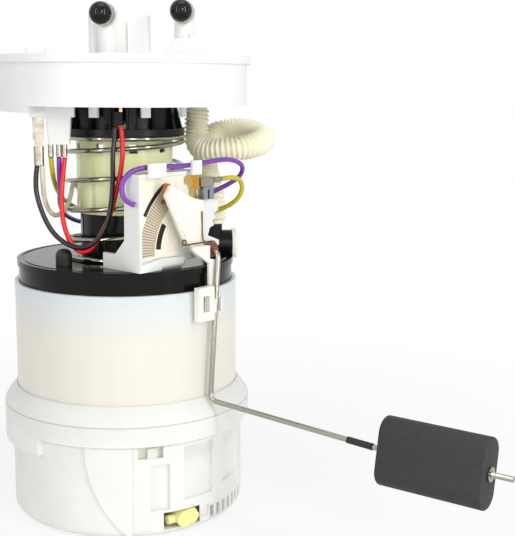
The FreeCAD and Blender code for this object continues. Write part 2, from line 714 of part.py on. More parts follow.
strainer_radius = canister_bore - 1.2
pump_strainer = new_body("pump_strainer")
full_turn(pump_strainer, "strainer_turn", [
    (0, bucket_floor + 4),
    (strainer_radius - 2, bucket_floor + 4),
    (strainer_radius, bucket_floor + 6),
    (strainer_radius, bucket_floor + 8.5),
    (strainer_radius - 4, bucket_floor + 10.5),
    (nipple_radius + 2.2, bucket_floor + 11.5),
    (nipple_radius + 2.2, bucket_floor + 17),
    (nipple_radius + 0.1, bucket_floor + 17),
    (nipple_radius + 0.1, inlet_bottom - 0.5),
    (0, inlet_bottom - 0.5),
])

# Delivery tube from the pump to the regulator
delivery_start = motor_top + 10.5
delivery_end = 1 - (float(regulator_stem) + 0.1) / math.hypot(float(regulator_out), float(regulator_back))
delivery_path, delivery_radii = rounded_path([
    (0, 0, delivery_start),
    (0, 0, delivery_level),
    (regulator_out * delivery_end, regulator_back * delivery_end, delivery_level),
], radius=delivery_bend)
delivery_tube = solid_feature("delivery_tube", tube_along(delivery_path, delivery_outside).cut(
    tube_along(delivery_path, spigot_radius + 0.1)))

# Pressure regulator on the lid
regulator_body = new_body("regulator_body")
extrude(regulator_body, "regulator_stem_pad", "XY_Plane", ("circle", 0, 0, regulator_stem),
        regulator_height - skirt_bottom + 3, offset=skirt_bottom - 3)
extrude(regulator_body, "regulator_foot", "XY_Plane", ("circle", 0, 0, regulator_stem + 2), 5, offset=lid_top)
extrude(regulator_body, "regulator_drum", "YZ_Plane", ("circle", 0, regulator_height + 0.4, regulator_radius - 0.2),
        11.6, offset=-2)
extrude(regulator_body, "regulator_block", "YZ_Plane",
        rectangle(-regulator_radius + 1.6, lid_top, regulator_radius - 1.6, regulator_height + 6), 7, offset=-6)
extrude(regulator_body, "regulator_ear", "XZ_Plane",
        [(-5, regulator_height + 4), (3, regulator_height + 4), (3, regulator_height + 9), (-1, regulator_height + 11),
         (-5, regulator_height + 10)], 3, offset=3.5)
extrude(regulator_body, "hose_nipple", "XY_Plane", ("circle", 0, 0, 4.4), 11.5, offset=regulator_height)
move_to(regulator_body, regulator_out, regulator_back, 0)

regulator_cap = new_body("regulator_cap")
extrude(regulator_cap, "cap_disc", "YZ_Plane", ("circle", 0, regulator_height + 0.4, regulator_radius + 0.4), 2.6,
        offset=9.6)
round_edges(regulator_cap, "cap_edge", 0.7,
            lambda edge, middle: middle.x > 12.1)
move_to(regulator_cap, regulator_out, regulator_back, 0)

# Spring seat under the flange
drum_bore = guide_radius + slip_gap
drum_radius = drum_bore + seat_wall
seat_deck = seat_bottom + seat_ring
spring_seat = new_body("spring_seat")
full_turn(spring_seat, "seat_turn", [
    (drum_bore, seat_bottom),
    (seat_radius, seat_bottom),
    (seat_radius, seat_deck),
    (drum_radius, seat_deck),
    (drum_radius, flange_bottom),
    (drum_radius - 4.5, flange_bottom),
    (drum_radius - 4.5, guide_top + slip_gap),
    (drum_bore, guide_top + slip_gap),
])
for index, lean in enumerate((-9, 9)):
    fin_sketch_turn = seat_bay_turn + 22.5 + lean
    fin = sector(spring_seat, f"fin_{index}", [
        (drum_radius - 0.5, seat_deck - 0.5),
        (seat_radius - 0.3, seat_deck - 0.5),
        (drum_radius + 0.6, flange_bottom - 0.4),
        (drum_radius - 0.5, flange_bottom - 0.4),
    ], fin_sketch_turn, fin_width * 2)
    round_array(spring_seat, f"fins_{index}", fin, 8)
sector(spring_seat, "cable_bay", rectangle(drum_bore - 5, seat_deck + 0.4, drum_radius + 2, flange_bottom + 1),
       seat_bay_turn - 6, 12, cut=True)
for index, turn in enumerate((-15.5, 8.5)):
    sector(spring_seat, f"bay_column_{index}",
           rectangle(drum_radius - 0.5, seat_deck - 0.5, seat_radius - 1.2, flange_bottom - 0.2),
           seat_bay_turn + turn, 7)

seat_post = new_body("seat_post")
extrude(seat_post, "post_pad", "XY_Plane", ("circle", 0, 0, 1.4), flange_bottom - seat_deck - 0.4,
        offset=seat_deck + 0.4)
move_to(seat_post, -1.7, -27.3, 0)

# Guide sleeve that slides on the canister
guide_sleeve = new_body("guide_sleeve")
full_turn(guide_sleeve, "guide_turn",
          rectangle(guide_radius - guide_wall, guide_bottom, guide_radius, guide_top))
guide_window = pocket(guide_sleeve, "guide_window", "YZ_Plane", rectangle(-2.2, guide_top - 15, 2.2, guide_top - 10.5),
                      8, offset=guide_radius - 4)
round_array(guide_sleeve, "guide_windows", guide_window, 9)

# Tank flange
deck_bottom = flange_top - flange_wall - 0.5
tank_flange = new_body("tank_flange")
full_turn(tank_flange, "flange_turn", [
    (0, deck_bottom),
    (drum_radius - 2.2, deck_bottom),
    (drum_radius - 2.2, flange_bottom),
    (drum_radius, flange_bottom),
    (drum_radius, deck_bottom),
    (spigot_outside - flange_wall, deck_bottom),
    (spigot_outside - flange_wall, flange_bottom),
    (spigot_outside, flange_bottom),
    (spigot_outside, flange_top - flange_lip),
    (flange_radius, flange_top - flange_lip),
    (flange_radius, flange_top),
    (0, flange_top),
])
rib = extrude(tank_flange, "rib", "XY_Plane",
              rectangle(drum_radius - 0.5, -flange_rib / 2, spigot_outside - flange_wall + 0.5, flange_rib / 2),
              deck_bottom - flange_bottom - 3.5, offset=flange_bottom + 4)
round_array(tank_flange, "ribs", rib, flange_rib_count)
hook = sector(tank_flange, "seat_hook",
              rectangle(seat_radius + 0.6, flange_bottom - hook_reach, seat_radius + 2.8, flange_bottom + 5),
              seat_bay_turn + 22.5 - 4, 8)
round_array(tank_flange, "seat_hooks", hook, 8)
hook_web = sector(tank_flange, "hook_web",
                  rectangle(drum_radius - 0.5, flange_bottom + 0.3, seat_radius + 2.8, flange_bottom + 3),
                  seat_bay_turn + 22.5 - 4, 8)
round_array(tank_flange, "hook_webs", hook_web, 8)
sector(tank_flange, "left_step",
       rectangle(spigot_outside - 14, flange_bottom - 3.2, spigot_outside - 0.4, flange_bottom + 4), -112, 66)
hose_side = size("hose_side", 40.0, "hose boss under the flange, right of the axis")
hose_back = size("hose_back", 16.0, "hose boss under the flange, behind the axis")
extrude(tank_flange, "hose_boss", "XY_Plane", ("circle", hose_side, hose_back, hose_radius + 1),
        deck_bottom - flange_bottom + 0.5, offset=flange_bottom)
extrude(tank_flange, "terminal_box", "XY_Plane", rectangle(-46.5, -37.5, -24.5, -26.5), 8,
        offset=flange_bottom - 5.5)
extrude(tank_flange, "tower", "XY_Plane", [
    (tower_shift - tower_length / 2 + 3, -tower_depth / 2),
    (tower_shift + tower_length / 2 - 3, -tower_depth / 2, 3),
    (tower_shift + tower_length / 2, -tower_depth / 2 + 3),
    (tower_shift + tower_length / 2, tower_depth / 2 - 3, 3),
    (tower_shift + tower_length / 2 - 3, tower_depth / 2),
    (tower_shift - tower_length / 2 + 3, tower_depth / 2, 3),
    (tower_shift - tower_length / 2, tower_depth / 2 - 3),
    (tower_shift - tower_length / 2, -tower_depth / 2 + 3, 3),
], tower_height + 1, offset=flange_top - 1)
tower_inner = tower_length / 2 - tower_wall
tower_half = tower_depth / 2 - tower_wall
pocket(tank_flange, "tower_socket", "XY_Plane",
       rectangle(tower_shift - tower_inner, -tower_half, tower_shift + tower_inner, tower_half),
       tower_height - 2, offset=flange_top + 3)
extrude(tank_flange, "tower_key", "XY_Plane",
        rectangle(tower_shift + 4, -tower_depth / 2 - 1.2, tower_shift + 6, -tower_depth / 2 + 0.5),
        tower_height - 3, offset=flange_top - 1)
supply_side = size("supply_side", -8.2, "supply pipe's riser, left of the axis")
supply_front = size("supply_front", -13.9, "supply pipe's riser, in front of the axis")
return_side = size("return_side", 31.8, "return pipe's riser, right of the axis")
return_front = size("return_front", -8.3, "return pipe's riser, in front of the axis")
extrude(tank_flange, "supply_riser", "XY_Plane", ("circle", supply_side, supply_front, port_riser - 0.4),
        supply_level - flange_top + 1, offset=flange_top - 1)
extrude(tank_flange, "return_riser", "XY_Plane", ("circle", return_side, return_front, port_riser),
        return_level - flange_top + 1, offset=flange_top - 1)
for index, reach in enumerate((-9.5, 11.5)):
    extrude(tank_flange, f"return_gusset_{index}", "XZ_Plane", [
        (return_side, flange_top - 1),
        (return_side + reach, flange_top - 1),
        (return_side + reach, flange_top + 2),
        (return_side + reach * 0.5, flange_top + 9),
        (return_side, flange_top + 9),
    ], 12, offset=-return_front - 6)
for index, (x0, x1) in enumerate(((-51.5, -49.3), (-45.5, -39.5))):
    extrude(tank_flange, f"index_lug_{index}", "XY_Plane", rectangle(x0, -12, x1, -7), 5, offset=flange_top - 1)


def port_pipe(name, side, front, level):
    """Level pipe with a barb, closed by a riser; it points to the front and a little to the left."""
    pipe = new_body(name)
    extrude(pipe, name + "_elbow", "XZ_Plane", ("circle", 0, 0, port_riser), 3.4, offset=0)
    extrude(pipe, name + "_spigot", "XZ_Plane", ("circle", 0, 0, port_radius), cap_start + 9, offset=0)
    pocket(pipe, name + "_bore", "XZ_Plane", ("circle", 0, 0, port_radius - 1.3), 24, offset=0.5)
    extrude(pipe, name + "_back", "XZ_Plane", ("circle", 0, 0, port_riser), port_riser, offset=-port_riser)
    turn_about_z(pipe, -port_turn)
    move_to(pipe, side, front, level)
    return pipe


supply_pipe = port_pipe("supply_pipe", supply_side, supply_front, supply_level)
return_pipe = port_pipe("return_pipe", return_side, return_front, return_level)
flange_fused = joined("flange", [tank_flange, supply_pipe, return_pipe])


def port_cap(name, side, front, level):
    """Black dust cap with a domed end."""
    cap = new_body(name)
    bore = port_radius + touch_gap
    sketch = attach(cap, name + "_profile", "YZ_Plane")
    draw_outline(sketch, [
        (-cap_start, bore),
        (-cap_start, cap_radius),
        (-cap_start - cap_length, cap_radius, cap_radius * 1.001),
        (-cap_start - cap_length - cap_radius * 0.98, cap_radius * 0.2),
        (-cap_start - cap_length - cap_radius * 0.98, 0),
        (-cap_start - 9.4, 0),
        (-cap_start - 9.4, bore),
    ])
    dome = cap.newObject("PartDesign::Revolution", name + "_turn")
    dome.Profile = sketch
    dome.ReferenceAxis = (sketch, ["H_Axis"])
    dome.Angle = 360
    turn_about_z(cap, -port_turn)
    move_to(cap, side, front, level)
    return cap


port_cap("supply_cap", supply_side, supply_front, supply_level)
port_cap("return_cap", return_side, return_front, return_level)


def cap_ring(name, side, front, level):
    """Clear locking ring on the pipe behind its cap."""
    ring = new_body(name)
    extrude(ring, name + "_pad", "XZ_Plane", ("circle", 0, 0, cap_radius + 0.5), 4, offset=cap_start - 4.3)
    pocket(ring, name + "_bore", "XZ_Plane", ("circle", 0, 0, port_radius + slip_gap), 8, offset=cap_start - 6)
    turn_about_z(ring, -port_turn)
    move_to(ring, side, front, level)
    return ring


cap_ring("supply_lock_ring", supply_side, supply_front, supply_level)
cap_ring("return_lock_ring", return_side, return_front, return_level)

connector_pins = new_body("connector_pins")
first_pin = tower_shift - pin_pitch * 1.5
pin_pad = extrude(connector_pins, "pin_pad", "XY_Plane",
                  rectangle(first_pin - pin_width / 2, -0.4, first_pin + pin_width / 2, 0.4), 12,
                  offset=flange_top + 3)
row_array(connector_pins, "pin_row", pin_pad, "X_Axis", pin_pitch * 3, 4)

# Terminals under the flange
lead_front = size("lead_front", -32.0, "depth of the lead terminals, in front of the axis")
block_bottom = flange_bottom - 5.5
flat_terminal = new_body("flat_terminal")
extrude(flat_terminal, "terminal_tab", "XZ_Plane", [
    (-45.4, block_bottom - 10.5),
    (-44.2, block_bottom - 14),
    (-41.2, block_bottom - 14),
    (-39.6, block_bottom - 10.5),
    (-39.6, block_bottom),
    (-45.4, block_bottom),
], 1.4, offset=-lead_front - 0.7)
extrude(flat_terminal, "terminal_crimp", "XY_Plane", [
    (-44.0, lead_front - 1.6),
    (-41.2, lead_front - 1.6, 1.7),
    (-41.2, lead_front + 1.6),
    (-44.0, lead_front + 1.6, 1.7),
], 9.4, offset=188)

lead_shroud = new_body("lead_shroud")
extrude(lead_shroud, "shroud_block", "XZ_Plane", [
    (-37.6, 198.3),
    (-27.0, 198.3),
    (-26.2, block_bottom),
    (-38.6, block_bottom),
], 8, offset=-lead_front - 4)
round_edges(lead_shroud, "shroud_edges", 1.2,
            lambda edge, middle: edge.Length > 13 and abs(middle.z - 205) < 3)

lead_crimps = new_body("lead_crimps")
for index, x in enumerate((-36.7, -32.7, -29.9)):
    extrude(lead_crimps, f"crimp_{index}", "XY_Plane", ("circle", x, lead_front, 1.38), 6.3, offset=192)

lead_boot = new_body("lead_boot")
extrude(lead_boot, "boot_pad", "XY_Plane", [
    (-4.6, -35.1),
    (-1.6, -35.1, 1.5),
    (-1.6, -32.3),
    (-1.9, -29.0),
    (-4.0, -29.0),
    (-4.6, -32.3, 1.5),
], 6.8, offset=207.5)

# Coil spring
spring_base = lid_top + spring_wire / 2 + 0.1
spring_end = seat_bottom - spring_wire / 2 - 0.1
spring_turns = [(-1.0, 0.0), (-0.7, 0.0), (0.0, 0.13), (1.0, 0.378), (2.0, 0.627), (3.0, 0.874), (3.5, 0.967),
                (4.0, 1.0), (4.6, 1.0)]


def spring_level(turn):
    """Height of the wire at a turn: flat end coils, wide open coils between."""
    low, high = float(spring_base), float(spring_end)
    for (start, share), (end, next_share) in zip(spring_turns, spring_turns[1:]):
        if turn <= end:
            part = share + (next_share - share) * (turn - start) / (end - start)
            return low + (high - low) * part
    return high


spring_steps = 16
spring_points = []
for step in range(int(5.6 * spring_steps) + 1):
    turn = -1.0 + step / spring_steps
    angle = math.pi + 2 * math.pi * turn
    reach = float(spring_radius)
    spring_points.append(Vector(reach * math.cos(angle), reach * math.sin(angle), spring_level(turn)))
spring_curve = Part.BSplineCurve()
spring_curve.interpolate(spring_points)
spring_section = Part.Wire([Part.makeCircle(float(spring_wire) / 2, spring_points[0],
                                            spring_curve.tangent(spring_curve.FirstParameter)[0])])
solid_feature("coil_spring", Part.Wire([spring_curve.toShape()]).makePipeShell([spring_section], True, True))

# Sender bracket, in its own frame: X to the right on the plate, -Y out of it, Z up
plate_back = sender_face - sender_plate
rail_front = sender_face + rail_proud
foot_top = lid_top + 2
sender_bracket = new_body("sender_bracket")
extrude(sender_bracket, "plate", "XZ_Plane", [
    (-sender_left, lid_top),
    (-4, lid_top),
    (-4, lid_top + 2.5),
    (12, lid_top + 2.5),
    (14, lid_top + 6.5),
    (24, lid_top + 7.8),
    (24, lid_top + 10.3),
    (15.5, lid_top + 13.5),
    (17, lid_top + 17.5),
    (20.2, lid_top + 18.5),
    (18.6, lid_top + 21),
    (21.6, lid_top + 22.2),
    (20, lid_top + 24.8),
    (23.4, lid_top + 26),
    (23.4, lid_top + 31.3),
    (16.5, lid_top + 32.5),
    (16.5, lid_top + 42),
    (7.5, lid_top + 42),
    (7.5, sender_top),
    (-sender_left, sender_top),
], sender_plate, offset=plate_back)
extrude(sender_bracket, "cheek", "YZ_Plane", [
    (-sender_face, lid_top),
    (-22, lid_top),
    (-22, lid_top + 7.8),
    (-31, lid_top + 7.8),
    (-38, lid_top + 15.3),
    (-38.5, sender_top),
    (-sender_face, sender_top),
], sender_side, offset=-sender_left)
extrude(sender_bracket, "top_block", "XZ_Plane",
        rectangle(-sender_left, sender_top - 14, 7.5, sender_top), 8, offset=plate_back - 6)
pocket(sender_bracket, "top_block_hollow", "XZ_Plane",
       rectangle(-sender_left + sender_side, sender_top - 15, 5.3, sender_top - 2.2), 6, offset=plate_back - 7)
extrude(sender_bracket, "foot", "XY_Plane", rectangle(-sender_left, -sender_face, -4, -38), 2, offset=lid_top)
extrude(sender_bracket, "foot_toe", "XY_Plane", rectangle(-sender_left, -39, -24, -22), 2, offset=lid_top)
for index, side in enumerate((-26.0, -8.0)):
    extrude(sender_bracket, f"peg_{index}", "XY_Plane", ("circle", side, -peg_out, peg_radius),
            lid_plate + 3, offset=lid_top - lid_plate - 2)
extrude(sender_bracket, "left_rail", "XZ_Plane",
        rectangle(-sender_left, lid_top, -sender_left + 3.4, sender_top), rail_proud, offset=sender_face)
extrude(sender_bracket, "bottom_rail", "XZ_Plane", [
    (-sender_left, lid_top),
    (-21, lid_top),
    (-20, lid_top + 1.6),
    (-5, lid_top + 1.6),
    (-5, lid_top + 5.2),
    (-20, lid_top + 5.8),
    (-sender_left, lid_top + 3.4),
], rail_proud, offset=sender_face)
extrude(sender_bracket, "top_rail", "XZ_Plane",
        rectangle(-sender_left, sender_top - 1.8, -2, sender_top), 1.8, offset=sender_face)
for index, (side0, side1) in enumerate(((-30.1, -18.6), (-0.4, 6.5))):
    extrude(sender_bracket, f"hook_base_{index}", "XZ_Plane",
            rectangle(side0, sender_top - 2, side1, sender_top), 4.6, offset=sender_face)
    extrude(sender_bracket, f"hook_front_{index}", "XZ_Plane",
            rectangle(side0, sender_top - 2, side1, sender_top + 5.3), 1.5, offset=sender_face + 3.1)
boss_radius = bush_radius + bearing_gap + boss_wall
extrude(sender_bracket, "pivot_boss", "XZ_Plane", ("circle", pivot_side, pivot_level, boss_radius),
        boss_front - plate_back, offset=plate_back)
pocket(sender_bracket, "pivot_bore", "XZ_Plane", ("circle", pivot_side, pivot_level, bush_radius + bearing_gap),
       boss_front - plate_back + 4, offset=plate_back - 2)
turn_about_z(sender_bracket, sender_turn)

# Card and prints
card_front = sender_face + card_thickness
sender_card = new_body("sender_card")
extrude(sender_card, "card_pad", "XZ_Plane", [
    (-sender_left + 3.6, lid_top + 5.9),
    (-7.4, lid_top + 5.9),
    (-7.4, lid_top + 24),
    (-3, lid_top + 30),
    (-3, sender_top - 2),
    (-sender_left + 3.6, sender_top - 2),
], card_thickness, offset=sender_face)
turn_about_z(sender_card, sender_turn)


def printed_arc(body, name, inner, outer, start, span):
    """Ring sector about the pivot, lying on the card; start is measured from the right, upwards."""
    low = math.radians(start)
    high = math.radians(start + span)

    def corner(radius, angle):
        return (pivot_side + radius * math.cos(angle), pivot_level + radius * math.sin(angle))

    extrude(body, name, "XZ_Plane", [
        corner(inner, low) + (inner,),
        corner(inner, high),
        corner(outer, high) + (-outer,),
        corner(outer, low),
    ][::1], print_thickness, offset=card_front)


resistor_track = new_body("resistor_track")
printed_arc(resistor_track, "track", track_inner, track_outer, 121, 58)
pocket(resistor_track, "track_trim", "XZ_Plane", rectangle(-37, 140, -sender_left + 3.7, 190), 2,
       offset=card_front - 1)
turn_about_z(resistor_track, sender_turn)
conductor_prints = new_body("conductor_prints")
printed_arc(conductor_prints, "outer_print", track_outer + 0.5, track_outer + 2.6, 123, 28)
printed_arc(conductor_prints, "inner_print", track_inner - 4, track_inner - 0.8, 147, 28)
turn_about_z(conductor_prints, sender_turn)

# Contact strip, terminal block and crimped terminal on the sender
contact_strip = new_body("contact_strip")
extrude(contact_strip, "strip_pad", "XZ_Plane", [
    (-1.2, lid_top + 45.6),
    (-2.8, lid_top + 43.4),
    (-2.8, lid_top + 42.0),
    (0.6, lid_top + 41.2),
    (2.2, lid_top + 34),
    (5.8, lid_top + 32.6),
    (7.4, lid_top + 34.2),
    (5.8, lid_top + 37.5),
    (5.9, lid_top + 46.2),
], 0.8, offset=sender_face)
extrude(contact_strip, "strip_fold", "XZ_Plane",
        rectangle(4.9, lid_top + 38.5, 5.9, lid_top + 46.2), 3.2, offset=sender_face)
turn_about_z(contact_strip, sender_turn)

terminal_block = new_body("terminal_block")
extrude(terminal_block, "block_pad", "XZ_Plane", rectangle(8.0, lid_top + 33.1, 15.6, lid_top + 39.6), 4.2,
        offset=sender_face)
pocket(terminal_block, "block_slot", "XZ_Plane", rectangle(11.2, lid_top + 32, 12.4, lid_top + 38.2), 3,
       offset=sender_face + 2.8)
turn_about_z(terminal_block, sender_turn)

crimp_out = 50.2
crimp_level = lid_top + 42.8
crimp_terminal = new_body("crimp_terminal")
extrude(crimp_terminal, "crimp_base", "XZ_Plane", rectangle(6.4, lid_top + 40, 15.4, lid_top + 44.6), 2.2,
        offset=sender_face + 2.4)
extrude(crimp_terminal, "crimp_barrel", "YZ_Plane", ("circle", -crimp_out, crimp_level, 1.6), 5, offset=15.4)
extrude(crimp_terminal, "crimp_leg", "XZ_Plane", rectangle(9, lid_top + 39.6, 14.4, lid_top + 41), 2.6,
        offset=sender_face + 0.2)
turn_about_z(crimp_terminal, sender_turn)

# Wiper lever
lever_front = lever_back + lever_thickness
wiper_lever = new_body("wiper_lever")
lever_bore = bush_radius + bearing_gap
extrude(wiper_lever, "paddle", "XZ_Plane", [
    (-23.8, 174.6),
    (-11.9, 152.4),
    (-6.0, 147.5),
    (-1.0, 141.2),
    (9.4, 140.6, 6),
    (9.4, 148.6),
    (2.2, 152),
    (2.2, 170.2),
    (-5.2, 172.2),
    (-20.4, 179.4),
], lever_thickness, offset=lever_back)
extrude(wiper_lever, "paddle_rib", "XZ_Plane",
        [(-22.4, 175), (-20.6, 174.8), (-9.6, 152.6), (-11.2, 152.6)], 1.2, offset=lever_front)
extrude(wiper_lever, "wing_block", "XZ_Plane", [
    (-9.0, 148.0),
    (-6.0, 147.3),
    (-1.0, 141.2),
    (0.8, 141.2),
    (0.8, 148.0),
], lever_low_back - lever_back + 2, offset=lever_back)
extrude(wiper_lever, "wing", "XZ_Plane", [
    (-11.0, 146.5),
    (1.2, 138.4),
    (5.4, 138.4),
    (5.4, 140.4),
    (0.8, 141.2),
    (0.8, 148.0),
    (-9.5, 148.2),
], 2, offset=lever_low_back)
extrude(wiper_lever, "arm_drop", "XZ_Plane", [
    (1.0, 120.5),
    (5.6, 120.5),
    (5.8, 138.6),
    (0.8, 138.6),
], 1.6, offset=lever_low_back)
extrude(wiper_lever, "clip_frame", "XZ_Plane", rectangle(-9.8, 110.2, 1.2, 127.6), clip_thickness,
        offset=clip_back)
pocket(wiper_lever, "clip_window", "XZ_Plane", rectangle(-6.9, 114.8, -2.3, 123.2), clip_thickness + 4,
       offset=clip_back - 2)
extrude(wiper_lever, "clip_jaw", "XZ_Plane", rectangle(1.0, 114.0, 6.4, 121.0), clip_thickness + 1,
        offset=clip_back - 0.4)
pocket(wiper_lever, "clip_groove", "XZ_Plane", rectangle(2.1, 113, 5.35, 122), 6,
       offset=rod_out - rod_radius - 0.05)
pocket(wiper_lever, "lever_hole", "XZ_Plane", ("circle", pivot_side, pivot_level, lever_bore),
       lever_thickness + 4, offset=lever_back - 2)
turn_about_z(wiper_lever, sender_turn)

hub_bush = new_body("hub_bush")
extrude(hub_bush, "bush_sleeve", "XZ_Plane", ("circle", pivot_side, pivot_level, bush_radius),
        lever_front - plate_back - 0.6, offset=plate_back + 0.8)
extrude(hub_bush, "bush_head", "XZ_Plane", [
    (1.6, 142.2),
    (4.2, 141.3),
    (8.6, 142.4, 4.2),
    (7.6, 148.6),
    (2.4, 148.2),
], 3.4, offset=lever_front + 0.2)
pocket(hub_bush, "bush_bore", "XZ_Plane", ("circle", pivot_side, pivot_level, rod_radius + 0.05), 40,
       offset=plate_back - 4)
turn_about_z(hub_bush, sender_turn)

wiper_contact = new_body("wiper_contact")
extrude(wiper_contact, "contact_leaf", "XZ_Plane", [
    (-24.4, 176.2),
    (-19.6, 168.4),
    (-16.8, 170.0),
    (-17.2, 178.0),
    (-19.4, 180.2),
    (-22.6, 180.6),
], 0.4, offset=lever_back - 0.4)
extrude(wiper_contact, "contact_finger", "XZ_Plane", ("circle", -18.2, 170.4, 1.1),
        lever_back - card_front - print_thickness - touch_gap, offset=card_front + print_thickness + touch_gap)
turn_about_z(wiper_contact, sender_turn)

# Thin wire that keeps the lever pressed to the card
lever_spring_path, lever_spring_radii = rounded_path([
    (-10.6, -(float(lever_front) + 1.6), 149.4),
    (-3.0, -(float(lever_front) + 1.6), 148.9),
    (3.2, -(float(lever_front) + 1.6), 150.6),
    (2.6, -(float(lever_front) + 1.6), 158.0),
    (1.9, -(float(lever_front) + 0.8), 168.6),
], radius=1.4)
lever_spring = solid_feature("lever_spring", tube_along(lever_spring_path, 0.4))
turn_about_z(lever_spring, sender_turn)

# Float rod: pin in the bush, upright run, sloping run, level run through the float
lean = math.radians(float(rod_turn) - float(sender_turn))
knee = Vector(float(rod_knee_side), -float(rod_out), float(rod_knee_level))
outward = Vector(math.sin(lean), -math.cos(lean), 0)
elbow = knee + outward * float(rod_reach)
elbow.z = float(rod_end_level)
tip = elbow + outward * float(rod_tip)
pin_end = Vector(float(pivot_side), -float(plate_back) - 1.2, float(pivot_level))
pin_head = Vector(float(pivot_side), -float(rod_out), float(pivot_level))
rod_path, rod_radii = rounded_path([pin_end, pin_head, knee, elbow, tip], radius=rod_bend)
float_rod = solid_feature("float_rod", tube_along(rod_path, rod_radius))
turn_about_z(float_rod, sender_turn)


def on_rod(name):
    """Body whose -Y axis lies along the rod's level run, starting at its elbow."""
    body = new_body(name)
    turn = math.radians(float(sender_turn))
    x = elbow.x * math.cos(turn) - elbow.y * math.sin(turn)
    y = elbow.x * math.sin(turn) + elbow.y * math.cos(turn)
    turn_about_z(body, rod_turn)
    move_to(body, x, y, rod_end_level)
    return body


rod_sleeve = on_rod("rod_sleeve")
extrude(rod_sleeve, "sleeve_pad", "XZ_Plane", ("circle", 0, 0, rod_radius + 0.9), float_start - 1.6, offset=1.2)
pocket(rod_sleeve, "sleeve_bore", "XZ_Plane", ("circle", 0, 0, rod_radius + 0.05), 12, offset=-2)

tilt = math.radians(float(float_tilt))
lean_x = math.sin(tilt)
lean_z = math.cos(tilt)
straight = float_height / 2 - float_width / 2
side_reach = float_width / 2


def float_corner(along, across):
    """Corner of the float's section, leaning with the float."""
    return (along * lean_x + across * lean_z, along * lean_z - across * lean_x)


level_float = on_rod("level_float")
extrude(level_float, "float_pad", "XZ_Plane", [
    float_corner(-straight, side_reach),
    float_corner(straight, side_reach) + (side_reach * 1.01,),
    float_corner(straight, -side_reach),
    float_corner(-straight, -side_reach) + (side_reach * 1.01,),
], float_length, offset=float_start)
pocket(level_float, "float_bore", "XZ_Plane", ("circle", 0, 0, rod_radius + bearing_gap), float_length + 8,
       offset=float_start - 4)
round_edges(level_float, "float_edges", 0.8,
            lambda edge, middle: abs(middle.x) + abs(middle.z) > 4 and (
                abs(middle.y + float(float_start)) < 0.01
                or abs(middle.y + float(float_start) + float(float_length)) < 0.01))

push_washer = on_rod("push_washer")
extrude(push_washer, "washer_pad", "XZ_Plane", ("circle", 0, 0, 3.4), 1.2,
        offset=float_start + float_length + touch_gap)
pocket(push_washer, "washer_bore", "XZ_Plane", ("circle", 0, 0, rod_radius + 0.05), 6,
       offset=float_start + float_length - 2)

# Leads: points chosen by hand from the photograph's view
lead_routes = {
    "black_lead": [
        (-43.6, -32, 187.7), (-45.0, -33, 179), (-43, -35, 168), (-38, -37, 156), (-31, -38, 149),
        (-23, -38.5, 146), (-16, -38.5, 148.6), (-10, -38, 156), (-7, -38, 168), (-6, -37, 181),
        (-6, -36, 193), (-4.9, -34.4, 201), (-4.6, -33.9, 207.2)],
    "red_lead": [
        (-29.9, -32, 191.6), (-31.2, -34.2, 178), (-32.4, -34, 165), (-31.6, -34.8, 154.6),
        (-28.9, -35.2, 148), (-25, -35.5, 143.4), (-18.8, -35.5, 142.8), (-14, -35.2, 147.8),
        (-10, -35, 156.6), (-7, -35, 165.6),
        (-4, -35, 175), (-1.4, -35, 188), (-0.8, -34.6, 199), (-1.7, -33.9, 207.2)],
    "yellow_lead": [
        (-36.7, -32, 191.6), (-36, -30.6, 184), (-36.4, -20, 175), (-36, -5, 168), (-33.5, 12, 163),
        (-25, 26, 158), (-10, 35, 154), (8, 36, 153.5), (24, 28, 154), (35, 14, 156),
        (41, 0, 158.5), (49, -6.2, 161.2), (56, -9.4, 164.4), (60.8, -12.2, 169.2),
        (62.2, -15, 175.6), (58.2, -17.6, 180.8), (49.6, -22.8, 179.6)],
    "purple_lead": [
        (-32.7, -32, 191.6), (-33.2, -30.6, 184), (-35, -22, 173), (-37.5, -5, 161.5), (-35, 16, 153),
        (-22.5, 33.5, 149.5), (-5, 40, 150), (13, 38.5, 154), (27, 28, 158.5), (34.8, 13, 163),
        (39, 3.5, 166.4), (46, -2.5, 170.4), (54.4, -4.6, 174.6), (61.6, -7.6, 179.6), (62.6, -13, 186),
        (56, -18.6, 189.6), (47.5, -23.8, 189.6), sender_point(9, 47.9, 188.2),
        sender_point(-6, 47.9, 187.5), sender_point(-20, 47.9, 188.2), sender_point(-29.5, 46.6, 188.2),
        sender_point(-36, 43.4, 186.4), sender_point(-39.2, 41.2, 181), sender_point(-39.6, 41.6, 175),
        sender_point(-38.6, 44.6, 171.4), sender_point(-36.2, 47, 170.4)],
    "ground_lead": [
        (-41.0, -32, 187.7), (-41.3, -31, 179), (-40.5, -27, 167), (-36.5, -22, 160.4), (-32, -14, 162),
        (-28.9, -6, 168), (-28.0, 0, 175), (-26.6, 8, 175), (-22.6, 16, 166), (-18.6, 20.6, 154),
        (-17.4, 21.4, 135.5)],
}
for lead_name, route in lead_routes.items():
    lead_path, radii = rounded_path(route)
    lead = tube_along(lead_path, lead_radius)
    expected = math.pi * float(lead_radius) ** 2 * lead_path.Length
    print(lead_name, "radii", radii, "volume", round(lead.Volume), "expected", round(expected))
    solid_feature(lead_name, lead)

